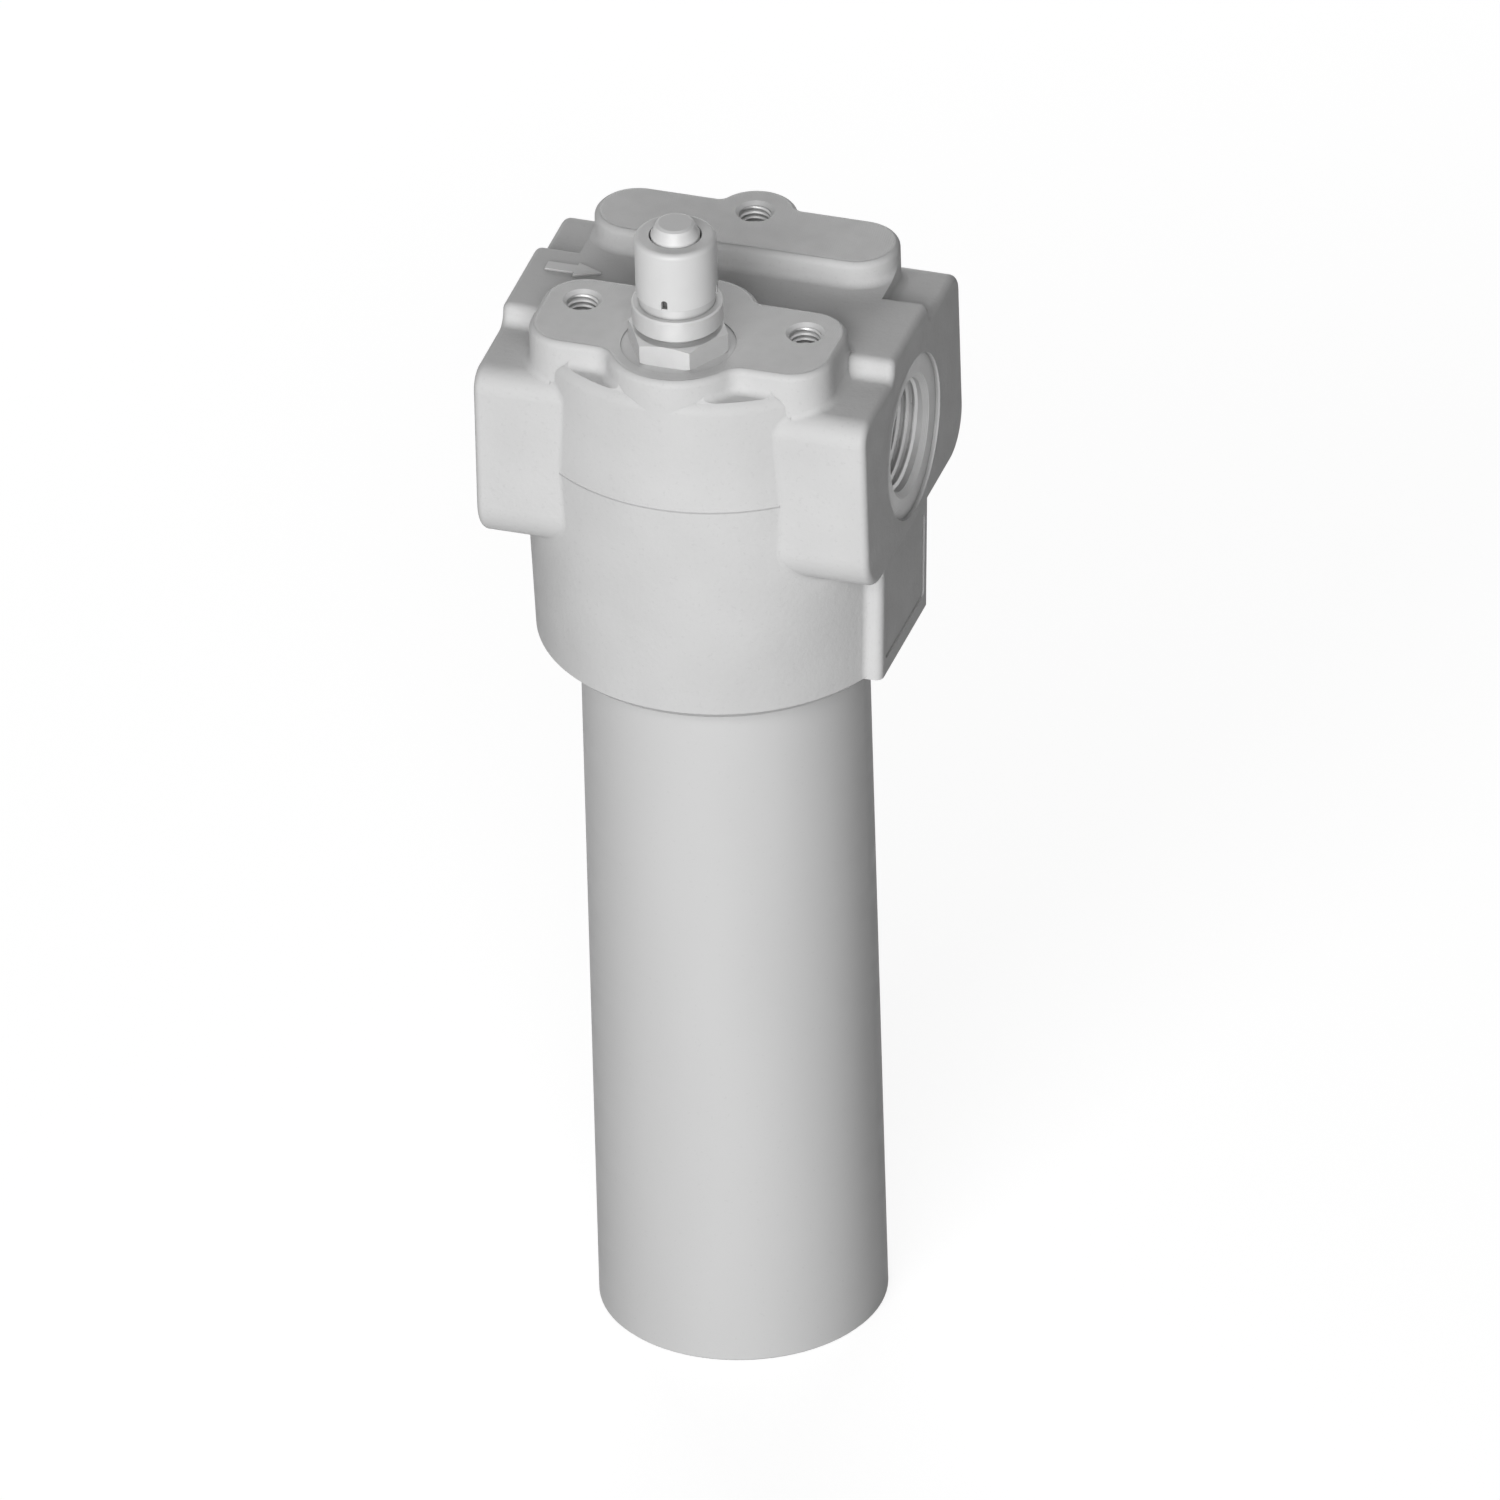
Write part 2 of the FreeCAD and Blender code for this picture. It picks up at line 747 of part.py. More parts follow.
def port_bore(sign):
    """Spotface, threaded part and chamfer of one port; sign is the side in X."""
    face_x = sign * block_half_x
    floor_x = face_x - sign * port_spotface_depth
    end_x = floor_x - sign * port_thread_depth
    x0, x1 = sorted((floor_x, face_x + sign * overrun))
    cutter = cylinder_x(port_spotface_r, x0, x1, port_z)
    x0, x1 = sorted((end_x, face_x))
    cutter = cutter.fuse(cylinder_x(port_core_r, x0, x1, port_z))
    chamfer_end_x = floor_x - sign * port_chamfer
    chamfer = cone_x(port_core_r + port_chamfer, port_core_r, floor_x, chamfer_end_x, port_z)
    return cutter.fuse(chamfer)


def mount_hole_places():
    """Centres of the three mounting holes, one at the back and two at the front."""
    places = []
    for i in range(3):
        angle = math.radians(90 + 120 * i)
        places.append((mount_pcd / 2 * math.cos(angle), mount_pcd / 2 * math.sin(angle)))
    return places


def mount_hole(x, y):
    bottom_z = pad_top_z - mount_depth
    return turned([
        (0, bottom_z - mount_core_r * drill_point), (mount_core_r, bottom_z),
        (mount_core_r, pad_top_z - mount_chamfer), (mount_core_r + mount_chamfer, pad_top_z),
        (mount_core_r + mount_chamfer, pad_top_z + overrun), (0, pad_top_z + overrun),
    ], x, y)


def drilling(start, end, r):
    direction = end - start
    return Part.makeCylinder(r, direction.Length, start, direction)


def indicator_port():
    """Stepped port for the indicator with its two drillings, dirty side and clean side."""
    shelf_z = seat_z - indicator_port_depth
    floor_z = shelf_z - indicator_low_depth
    cutter = turned([
        (0, floor_z), (indicator_low_r, floor_z), (indicator_low_r, shelf_z),
        (indicator_port_r, shelf_z), (indicator_port_r, seat_z - seal_recess),
        (indicator_port_r + seal_recess, seat_z - seal_recess), (indicator_port_r + seal_recess, seat_z),
        (indicator_spotface_r, seat_z), (indicator_spotface_r, pad_top_z + overrun),
        (0, pad_top_z + overrun),
    ], 0, boss_y)
    entry_x = indicator_low_r + gallery_r / 2
    away = gallery_reach * seal_bore_r / math.hypot(entry_x, boss_y)
    dirty_end = Vec(entry_x * away, boss_y * away, ceiling_z - gallery_r)
    dirty = drilling(Vec(entry_x, boss_y, shelf_z + gallery_r), dirty_end, gallery_r)
    clean_end = Vec(gallery_r, -passage_r / 2, port_z)
    clean = drilling(Vec(0, boss_y, floor_z + gallery_r), clean_end, gallery_r)
    return cutter.fuse([dirty, clean])


def filter_head():
    """Cast and machined head."""
    thread_end_x = block_half_x - port_spotface_depth - port_thread_depth
    inlet = cylinder_x(passage_r, -thread_end_x - overrun, inlet_drop_x + 2 * passage_overrun, port_z)
    inlet = inlet.fuse(cylinder(inlet_drop_r, ceiling_z - overrun, port_z, inlet_drop_x))
    outlet = cylinder_x(passage_r, -passage_overrun, thread_end_x + overrun, port_z)
    nipple_thread_top = ceiling_z + nipple_thread_length + nipple_thread_room
    outlet = outlet.fuse(cylinder(nipple_r + thread_gap, ceiling_z - overrun, nipple_thread_top))
    outlet = outlet.fuse(cylinder(nipple_bore_r, nipple_thread_top - overrun, port_z))
    cutters = [bowl_bore(), inlet, outlet, port_bore(-1), port_bore(1), indicator_port(), bare_field()]
    cutters += [mount_hole(x, y) for x, y in mount_hole_places()]
    return head_outside().cut(cutters).removeSplitter()


def bowl():
    """Turned steel bowl with a rounded inner floor, thread, undercut and grooved seal nose."""
    root_r = bowl_r - thread_depth
    outer = turned([
        (0, 0), (bowl_r - bowl_edge_break, 0), (bowl_r, bowl_edge_break), (bowl_r, head_bottom_z),
        (bowl_neck_r, head_bottom_z), (bowl_neck_r, thread_start_z), (root_r, thread_start_z),
        (root_r, thread_end_z), (bowl_neck_r, thread_end_z), (bowl_neck_r, shoulder_z),
        (nose_r, shoulder_z), (nose_r, nose_top_z - nose_chamfer),
        (nose_r - nose_chamfer, nose_top_z), (0, nose_top_z),
    ])
    hollow = cylinder(bowl_bore_r, bowl_floor, nose_top_z + overrun)
    hollow = hollow.makeFillet(min(bowl_floor_round, bowl_bore_r / 2), edges_at(hollow, bowl_floor))
    z0, z1 = nose_groove()
    groove = cylinder(nose_r + overrun, z0, z1).cut(cylinder(groove_bottom_r, z0, z1))
    return outer.cut([hollow, groove])


def nose_ring_section():
    return (seal_bore_r - groove_bottom_r - 2 * ring_gap) / 2


def nose_groove():
    """Lowest and highest level of the ring groove in the bowl's nose."""
    width = 2 * nose_ring_section() + backup_ring_width + 3 * ring_side_gap
    start = shoulder_z + nose_groove_start
    return start, start + width


def bowl_oring():
    section = nose_ring_section()
    z1 = nose_groove()[1]
    return ring(section, groove_bottom_r + ring_gap + section, z1 - ring_side_gap - section)


def bowl_backup_ring():
    z0 = nose_groove()[0] + ring_side_gap
    z1 = z0 + backup_ring_width
    return cylinder(seal_bore_r - ring_gap, z0, z1).cut(cylinder(groove_bottom_r + ring_gap, z0, z1))


def outlet_spigot():
    """Turned nipple, screwed into the head's ceiling by its hexagon, that carries the element."""
    hex_bottom_z = ceiling_z - nipple_hex_height
    solid = hexagon(nipple_hex, hex_bottom_z, ceiling_z)
    thread_top_z = ceiling_z + nipple_thread_length
    solid = solid.fuse(cylinder(nipple_r, hex_bottom_z - overrun, thread_top_z))
    tail = turned([
        (0, nipple_bottom_z), (nipple_r - nipple_lead_in, nipple_bottom_z),
        (nipple_r, nipple_bottom_z + 2 * nipple_lead_in), (nipple_r, hex_bottom_z), (0, hex_bottom_z),
    ])
    bore = cylinder(nipple_bore_r, nipple_bottom_z - overrun, thread_top_z + overrun)
    return solid.fuse(tail).cut(bore).removeSplitter()


def element_ring_z():
    return cap_top_z + hub_above / 2 - element_ring_drop


def element_top_cap():
    """Pressed and machined upper cap with the hub that slides over the nipple."""
    rim_z = cap_top_z - cap_rim
    under_z = cap_top_z - cap_plate
    hub_low_z = cap_top_z - hub_below
    bore_r = nipple_r + ring_gap
    inner_hub_r = core_r - core_wall - cap_seat_gap
    body = turned([
        (bore_r, hub_low_z), (inner_hub_r, hub_low_z), (inner_hub_r, under_z),
        (element_r - cap_wall, under_z), (element_r - cap_wall, rim_z), (element_r, rim_z),
        (element_r, cap_top_z - cap_break), (element_r - cap_break, cap_top_z),
        (hub_r, cap_top_z), (hub_r, hub_top_z), (bore_r + cap_break, hub_top_z),
        (bore_r, hub_top_z - cap_break),
    ])
    z = element_ring_z()
    half = element_ring / 2 + ring_side_gap
    groove = cylinder(nipple_r + element_ring, z - half, z + half)
    return body.cut(groove)


def element_oring():
    section = (element_ring - ring_gap) / 2
    return ring(section, nipple_r + ring_gap / 2 + section, element_ring_z())


def element_bottom_cap():
    """Lower cap with the bypass valve's seat in its middle."""
    z0 = element_bottom_z
    z1 = z0 + cap_plate
    return turned([
        (bypass_hole_r, z0), (element_r - cap_break, z0), (element_r, z0 + cap_break),
        (element_r, z0 + cap_rim), (element_r - cap_wall, z0 + cap_rim), (element_r - cap_wall, z1),
        (bypass_hole_r + cap_break, z1), (bypass_hole_r, z1 - cap_break),
    ])


def element_core():
    """Perforated support tube."""
    z0 = element_bottom_z + cap_plate + cap_seat_gap
    z1 = cap_top_z - cap_plate - cap_seat_gap
    inner = core_r - core_wall
    tube = cylinder(core_r, z0, z1).cut(cylinder(inner, z0, z1))
    low = z0 + bypass_cage_height + core_end_margin
    high = z1 - hub_below - core_end_margin
    drills = []
    for row in range(core_hole_rows):
        z = low + (high - low) * row / (core_hole_rows - 1)
        for column in range(core_hole_columns):
            angle = math.radians(360 / core_hole_columns * (column + 0.5 * (row % 2)))
            direction = Vec(math.cos(angle), math.sin(angle), 0)
            start = direction * (inner - core_wall / 2) + UP * z
            drills.append(drilling(start, start + direction * 2 * core_wall, core_hole_r))
    return tube.cut(drills)


def offset_ring(points, distance):
    """Closed ring of points moved sideways by a distance, with mitred corners."""
    moved = []
    count = len(points)
    for i in range(count):
        a, b, c = points[i - 1], points[i], points[(i + 1) % count]
        n1 = Vec(b.y - a.y, a.x - b.x, 0).normalize()
        n2 = Vec(c.y - b.y, b.x - c.x, 0).normalize()
        middle = (n1 + n2).normalize()
        moved.append(b + middle * (distance / max(middle.dot(n1), mitre_limit)))
    return moved


def element_pleat_pack():
    """Folded filter sheet standing between the core and the caps' rims."""
    inner = core_r + cap_seat_gap + pleat_sheet
    outer = element_r - cap_wall - cap_seat_gap - pleat_sheet
    points = []
    for i in range(pleat_count):
        for r, turn in ((outer, i), (inner, i + 0.5)):
            angle = 2 * math.pi * turn / pleat_count
            half = pleat_fold / 2 / r
            for side in (-half, half):
                points.append(Vec(r * math.cos(angle + side), r * math.sin(angle + side), 0))
    z0 = element_bottom_z + cap_plate + cap_seat_gap
    z1 = cap_top_z - cap_plate - cap_seat_gap
    shell = offset_ring(points, pleat_sheet / 2)
    core = offset_ring(points, -pleat_sheet / 2)
    solid = prism(Part.makePolygon(shell + shell[:1]), z0, z1)
    return solid.cut(prism(Part.makePolygon(core + core[:1]), z0, z1))


def cage_base_z():
    return element_bottom_z + cap_plate


def cage_top_z():
    return cage_base_z() + bypass_cage_height


def bypass_cage():
    """Windowed cage that guides the bypass poppet and holds its spring."""
    z0 = cage_base_z()
    z1 = cage_top_z()
    outer_r = core_r - core_wall - cap_seat_gap
    inner_r = outer_r - bypass_cage_wall
    body = cylinder(outer_r, z0, z1).cut(cylinder(inner_r, z0, z1 - bypass_cage_top))
    body = body.cut(cylinder(bypass_stem_r + running_gap, z0, z1))
    w = bypass_window_half
    low = z0 + bypass_cage_top + bypass_cage_bridge
    high = z1 - bypass_cage_top - bypass_cage_bridge
    windows = [box(-outer_r, outer_r, -w, w, low, high), box(-w, w, -outer_r, outer_r, low, high)]
    return body.cut(windows)


def poppet_seat_z():
    return cage_base_z() + bypass_seat_gap


def bypass_poppet():
    """Turned bypass poppet, closed at rest on the lower cap."""
    z0 = poppet_seat_z()
    z1 = z0 + bypass_head_height
    tip = cage_top_z() + bypass_travel / 2
    return turned([
        (0, z0 - poppet_lead), (bypass_hole_r - poppet_lead, z0 - poppet_lead), (bypass_hole_r, z0),
        (bypass_head_r, z0), (bypass_head_r, z1), (bypass_stem_r, z1),
        (bypass_stem_r, tip - stem_break), (bypass_stem_r - stem_break, tip), (0, tip),
    ])


def bypass_spring():
    mid_r = (bypass_head_r + bypass_stem_r) / 2
    low = poppet_seat_z() + bypass_head_height
    high = cage_top_z() - bypass_cage_top
    return spring(mid_r, bypass_wire_r, low, high, bypass_turns)


def stem_ring_z():
    return seat_z - indicator_port_depth - indicator_low_depth / 2 + stem_ring_rise


def indicator_body():
    """Turned indicator body: stem, hexagon, groove, collar and neck, with both bores."""
    thread_r = indicator_port_r - stem_clearance
    low_r = indicator_low_r - stem_clearance
    thread_low_z = seat_z - stem_thread_length
    hexagonal = hexagon(hex_across, seat_z, hex_top_z, 0, boss_y)
    corner = hex_across / math.sqrt(3)
    flat_r = hex_across / 2
    turned_blank = turned([
        (0, seat_z), (corner - 2 * hex_base_chamfer, seat_z), (corner, seat_z + hex_base_chamfer),
        (corner, hex_top_z - hex_chamfer), (flat_r - hex_top_inset, hex_top_z), (0, hex_top_z),
    ], 0, boss_y)
    hexagonal = hexagonal.common(turned_blank)
    upper = turned([
        (0, stem_low_z), (low_r - stem_chamfer, stem_low_z), (low_r, stem_low_z + stem_chamfer),
        (low_r, thread_low_z), (thread_r - stem_chamfer, thread_low_z),
        (thread_r, thread_low_z + stem_chamfer), (thread_r, seat_z + overrun),
        (neck_r, seat_z + overrun), (neck_r, collar_bottom_z),
        (collar_r - collar_break, collar_bottom_z), (collar_r, collar_bottom_z + collar_break),
        (collar_r, collar_top_z - collar_break), (collar_r - collar_break, collar_top_z),
        (stub_base_r, collar_top_z), (stub_base_r, cap_bottom_z), (stub_r, cap_bottom_z),
        (stub_r, stub_top_z), (0, stub_top_z),
    ], 0, boss_y)
    body = hexagonal.fuse(upper)
    z = stem_ring_z()
    half = stem_ring / 2 + ring_side_gap
    groove = cylinder(low_r + overrun, z - half, z + half, 0, boss_y)
    groove = groove.cut(cylinder(indicator_low_r - stem_ring, z - half, z + half, 0, boss_y))
    piston_bore = cylinder(piston_bore_r, stem_low_z - overrun, piston_ceiling_z, 0, boss_y)
    button_bore = cylinder(button_bore_r, button_floor_z, stub_top_z + overrun, 0, boss_y)
    gallery_x = (piston_bore_r + low_r) / 2
    cross_z = thread_low_z - oilway_drop
    upright = cylinder(oilway_r, cross_z, piston_ceiling_z - oilway_r, gallery_x, boss_y)
    out = Part.makeCylinder(oilway_r, thread_r, Vec(gallery_x, boss_y, cross_z), ALONG_X)
    into = Part.makeCylinder(oilway_r, gallery_x, Vec(0, boss_y, piston_ceiling_z - oilway_r), ALONG_X)
    return body.cut([groove, piston_bore, button_bore, upright, out, into]).removeSplitter()


def indicator_seal_ring():
    """Seal in the recess under the hexagon, round the stem's thread."""
    mid_r = indicator_port_r + ring_gap / 2 + seal_section_r
    return ring(seal_section_r, mid_r, seat_z - seal_recess / 2, 0, boss_y)


def indicator_stem_oring():
    section = (stem_ring - ring_gap) / 2
    return ring(section, indicator_low_r - ring_gap / 2 - section, stem_ring_z(), 0, boss_y)


def piston_top_z():
    return piston_ceiling_z - piston_stop_gap


def indicator_piston():
    """Differential pressure piston with a seat for its magnet."""
    r = piston_bore_r - piston_gap
    z1 = piston_top_z()
    z0 = z1 - piston_length
    waist_r = r - piston_relief
    waist = piston_land + piston_relief
    body = turned([
        (0, z0), (r - piston_chamfer, z0), (r, z0 + piston_chamfer), (r, z0 + piston_land),
        (waist_r, z0 + waist), (waist_r, z1 - waist), (r, z1 - piston_land), (r, z1), (0, z1),
    ], 0, boss_y)
    return body.cut(cylinder(piston_magnet_r, z1 - magnet_height, z1, 0, boss_y))


def piston_magnet():
    z1 = piston_top_z()
    return cylinder(piston_magnet_r - magnet_gap, z1 - magnet_height, z1, 0, boss_y)


def stem_plug():
    """Ring that closes the stem's bore and carries the piston spring."""
    low = stem_low_z + plug_inset
    body = cylinder(piston_bore_r - magnet_gap, low, low + plug_height, 0, boss_y)
    return body.cut(cylinder(plug_bore_r, low, low + plug_height, 0, boss_y))


def piston_spring():
    low = stem_low_z + plug_inset + plug_height
    high = piston_top_z() - piston_length
    return spring(piston_bore_r - 4 * piston_wire_r, piston_wire_r, low, high, piston_turns, 0, boss_y)


def indicator_cap():
    """Plastic cap over the neck, with a hole for the button and four slots in its lower edge."""
    inner_r = stub_r + cap_fit
    body = cylinder(cap_r, cap_bottom_z, cap_top_edge_z, 0, boss_y)
    body = body.makeFillet(cap_edge_round, edges_at(body, cap_top_edge_z))
    body = body.cut(cylinder(inner_r, cap_bottom_z, cap_top_edge_z - cap_top, 0, boss_y))
    body = body.cut(cylinder(cap_hole_r, cap_bottom_z, cap_top_edge_z, 0, boss_y))
    half = slot_width / 2
    straight = slot_height - half
    cutters = []
    for i in range(4):
        reach = cap_r + overrun
        slot = box(0, reach, -half, half, cap_bottom_z - overrun, cap_bottom_z + straight)
        slot = slot.fuse(cylinder_x(half, 0, reach, cap_bottom_z + straight))
        slot.rotate(Vec(0, 0, 0), UP, 90 * i)
        slot.translate(Vec(0, boss_y, 0))
        cutters.append(slot)
    return body.cut(cutters).removeSplitter()


def flange_z():
    return stub_top_z + button_flange_rise


def indicator_button():
    """Button with its stem, flange and tapered top, pushed down at rest."""
    z0 = button_floor_z + button_rest_gap
    base_z = cap_top_edge_z + button_shoulder
    cone_z = base_z + button_cone_height
    top_z = cone_z + button_top_height
    k = math.sqrt(0.5)
    round_r = button_cone_r - button_top_r
    flange_top = flange_z() + button_flange_height
    body = turned([
        (0, z0), (button_stem_r, z0), (button_stem_r, flange_z()), (button_flange_r, flange_z()),
        (button_flange_r, flange_top), (button_r, flange_top),
        (button_r, base_z), (button_cone_r, cone_z),
        (button_top_r + round_r * k, top_z - button_top_height * (1 - k)),
        (button_top_r, top_z), (0, top_z),
    ], 0, boss_y)
    return body.cut(cylinder(button_stem_r - magnet_wall, z0, z0 + magnet_height, 0, boss_y))


def button_magnet():
    z0 = button_floor_z + button_rest_gap
    return cylinder(button_stem_r - magnet_wall - magnet_gap, z0, z0 + magnet_height, 0, boss_y)


def button_spring():
    return spring(button_spring_r, button_wire_r, button_floor_z, flange_z(), button_turns, 0, boss_y)


NODES = [
    filter_head, bowl, bowl_oring, bowl_backup_ring, outlet_spigot, element_top_cap, element_oring,
    element_pleat_pack, element_core, element_bottom_cap, bypass_cage, bypass_poppet, bypass_spring,
    indicator_body, indicator_seal_ring, indicator_stem_oring, indicator_piston, piston_magnet, stem_plug,
    piston_spring, indicator_cap, indicator_button, button_magnet, button_spring,
]


def main():
    os.makedirs("parts", exist_ok=True)
    for make in NODES:
        shape = make()
        print(make.__name__, shape.ShapeType, len(shape.Solids), shape.isValid(), round(shape.Volume, 1))
        if shape.ShapeType == "Compound" and len(shape.Solids) == 1:
            shape = shape.Solids[0]
        shape.exportStep("parts/" + make.__name__ + ".step")


main()
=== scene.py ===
import json
import math
import bpy
from mathutils import Matrix, Vector


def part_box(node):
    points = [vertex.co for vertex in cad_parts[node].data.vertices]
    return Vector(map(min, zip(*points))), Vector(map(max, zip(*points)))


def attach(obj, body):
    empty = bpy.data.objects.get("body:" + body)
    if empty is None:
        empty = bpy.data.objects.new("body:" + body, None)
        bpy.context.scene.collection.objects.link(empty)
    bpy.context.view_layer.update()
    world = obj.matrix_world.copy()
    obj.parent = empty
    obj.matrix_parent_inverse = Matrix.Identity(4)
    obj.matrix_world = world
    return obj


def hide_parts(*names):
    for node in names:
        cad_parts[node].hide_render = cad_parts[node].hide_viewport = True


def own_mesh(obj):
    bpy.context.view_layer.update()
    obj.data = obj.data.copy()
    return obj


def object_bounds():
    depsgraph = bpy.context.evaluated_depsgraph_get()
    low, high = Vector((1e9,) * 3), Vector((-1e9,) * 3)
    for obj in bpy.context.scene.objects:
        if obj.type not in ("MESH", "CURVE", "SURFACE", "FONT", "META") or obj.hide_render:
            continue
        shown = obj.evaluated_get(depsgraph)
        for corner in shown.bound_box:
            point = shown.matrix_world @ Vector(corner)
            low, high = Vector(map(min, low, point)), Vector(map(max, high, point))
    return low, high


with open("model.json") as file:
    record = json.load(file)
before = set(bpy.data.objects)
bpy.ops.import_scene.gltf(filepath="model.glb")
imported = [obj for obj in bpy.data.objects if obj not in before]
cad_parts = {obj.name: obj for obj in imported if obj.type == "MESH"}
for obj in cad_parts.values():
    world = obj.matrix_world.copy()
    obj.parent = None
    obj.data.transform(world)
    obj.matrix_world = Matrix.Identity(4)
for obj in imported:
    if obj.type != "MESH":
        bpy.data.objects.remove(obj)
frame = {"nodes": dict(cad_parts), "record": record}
nodes = frame["nodes"]
cad_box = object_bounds()

MM = 0.001

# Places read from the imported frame, in metres
mounts = {mount["name"]: mount for mount in frame["record"]["mounts"]}
port_z = mounts["outlet_port"]["pos_m"][2]
port_core_r = mounts["outlet_port"]["dims"]["r_mm"] * MM
port_length = mounts["outlet_port"]["dims"]["length_mm"] * MM
hole_pcd = mounts["mounting_holes"]["dims"]["pcd_mm"] * MM
hole_r = mounts["mounting_holes"]["dims"]["hole_r_mm"] * MM
hole_count = mounts["mounting_holes"]["dims"]["count"]
head_low, head_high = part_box("filter_head")
pad_z = head_high.z
block_x = head_high.x
body_r = head_high.y
cap_low, cap_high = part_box("indicator_cap")
indicator_x = (cap_low.x + cap_high.x) / 2
indicator_y = (cap_low.y + cap_high.y) / 2

# Camera: the photograph is a parallel view
CAMERA_RIGHT = Vector((0.95299, 0.30199, -0.024715))
CAMERA_UP = Vector((-0.142532, 0.518774, 0.842946))
CAMERA_BACK = Vector((0.26738, -0.79980, 0.53743))
VIEW_CENTRE_RIGHT = 0.0016074
VIEW_CENTRE_UP = 0.13823
VIEW_WIDTH = 0.38889
CAMERA_DISTANCE = 1.5
CLIP_NEAR = 0.01
CLIP_FAR = 10

# Lamps: the key stands in front of the filter, a weaker one behind it
LAMP_DISTANCE = 2.0
LAMP_SIZE = 1.5
KEY_DIRECTION = Vector((0.10, -0.93, 0.36))
KEY_POWER = 43.0
BACK_DIRECTION = Vector((-0.35, 0.93, 0.18))
BACK_POWER = 34.0
WORLD_STRENGTH = 0.07

FLOOR_HALF = 3.0
FLOOR_GREY = 0.26
FLOOR_GLOW = 0.84

# Greys of the finished surfaces, linear
CAST_GREY = 0.62
BOWL_GREY = 0.64
BARE_GREY = 0.58
PLASTIC_GREY = 0.66
# Painted shade inside the indicator cap, where its slots look in
SLOT_SHADE_GREY = 0.1

# Specular level of the paint on the casting and the coat on the bowl
SATIN_SPECULAR = 0.25
PLASTIC_IOR = 1.5

# Half the width of the soft edge between two finishes
MASK_EDGE = 0.05 * MM

# Painted shade in creases: ambient occlusion that counts as the bottom of a crease and as open surface
CREASE_SHADE_SAMPLES = 6
CREASE_SHADE_BOTTOM = 0.35
CREASE_SHADE_OPEN = 0.95

# Part of the noise texture's range that carries a roughness and a shade
ROUGH_NOISE = (0.3, 0.7)
SHADE_NOISE = (0.35, 0.65)

# Colour sockets of the Mix node
MIX_FIRST = 6
MIX_SECOND = 7
MIX_RESULT = 2

# Machined places of the casting
SPOTFACE_R = 22.25 * MM
SPOTFACE_BELOW_BLOCK = 0.6 * MM
PORT_MASK_INNER_X = 30 * MM
PAD_SKIN = 0.12 * MM
INDICATOR_SEAT_R = 15.2 * MM
INDICATOR_SEAT_DEPTH = 2 * MM
BOWL_MOUTH_R = 38.6 * MM
BOWL_MOUTH_BELOW_PORT = 20 * MM
HOLE_CHAMFER = 1.0 * MM
HOLE_MASK_DEPTH = 30 * MM
HOLE_MASK_EDGE = 1.0 * MM

# How much metal shows in the machined places, and how much smoother they are than the paint
MACHINED_METALLIC = 0.25
MACHINED_SMOOTHER = 0.22

# Tool marks
SPOTFACE_PITCH = 0.35 * MM
MILL_PITCH = 0.6 * MM
MILL_CENTRE_X = -250 * MM

# Cast flow arrow: middle and half sizes of its top
ARROW_X = -40.0 * MM
ARROW_Y = 5.3 * MM
arrow_z = port_z + 32.6 * MM
ARROW_HALF_LENGTH = 8.2 * MM
ARROW_HALF_WIDTH = 3.4 * MM
ARROW_HALF_HEIGHT = 0.25 * MM
ARROW_EDGE = 0.1 * MM
# How much lighter the arrow's top is: partly a painted highlight, partly paint rubbed thin
ARROW_WEAR_AND_HIGHLIGHT = 1.2

# Seam of the mould halves on the round body
SEAM_HALF_HEIGHT = 0.3 * MM
SEAM_EDGE = 0.25 * MM
SEAM_OUTSIDE_BODY = 0.1 * MM
SEAM_INSIDE_BODY = 1.0 * MM

# Thread between bowl and head: root radius on the bowl, bore radius in the head
BOWL_ROOT_R = 36.68 * MM
HEAD_BORE_R = 37.6 * MM
BOWL_THREAD_DEPTH = 0.72 * MM
BOWL_THREAD_PITCH = 2.0 * MM
BOWL_THREAD_LENGTH = 19.4 * MM
bowl_thread_z = head_low.z + 2.4 * MM

# Port threads: they start under the spotface and its chamfer, and end short of the bore's end
PORT_THREAD_DEPTH = 0.62 * MM
PORT_THREAD_PITCH = 2.309 * MM
PORT_THREAD_OFF_WALL = 0.03 * MM
PORT_THREAD_SHORTER = 1.0 * MM
SPOTFACE_DEPTH = 1.2 * MM
PORT_CHAMFER = 1.45 * MM

# Threads of the mounting holes
MOUNT_THREAD_DEPTH = 0.4 * MM
MOUNT_THREAD_PITCH = 1.5 * MM
MOUNT_THREAD_OFF_WALL = 0.02 * MM
MOUNT_THREAD_LENGTH = 15 * MM
MOUNT_THREAD_BELOW_PAD = 0.9 * MM
MOUNT_THREAD_STEPS = 48

# Section of a thread ridge as shares of the pitch, its run-out in turns, and its steps in a turn
THREAD_FLANK = 0.34
THREAD_CREST = 0.07
THREAD_RUNOUT = 0.3
THREAD_STEPS = 72

# Edges sharper than these stay crisp
THREAD_SHARP_ANGLE = math.radians(35)
NODE_SHARP_ANGLE = math.radians(28)


def add_object(name, data):
    """New object in the scene for a camera, a lamp or a mesh."""
    made = bpy.data.objects.new(name, data)
    bpy.context.scene.collection.objects.link(made)
    return made


def add_camera():
    """Parallel camera at the photograph's viewing angle."""
    data = bpy.data.cameras.new("camera")
    data.type = "ORTHO"
    data.ortho_scale = VIEW_WIDTH
    data.clip_start = CLIP_NEAR
    data.clip_end = CLIP_FAR
    camera = add_object("camera", data)
    turn = Matrix((CAMERA_RIGHT, CAMERA_UP, CAMERA_BACK)).transposed()
    centre = CAMERA_RIGHT * VIEW_CENTRE_RIGHT + CAMERA_UP * VIEW_CENTRE_UP
    camera.matrix_world = Matrix.Translation(centre + CAMERA_BACK * CAMERA_DISTANCE) @ turn.to_4x4()
    bpy.context.scene.camera = camera


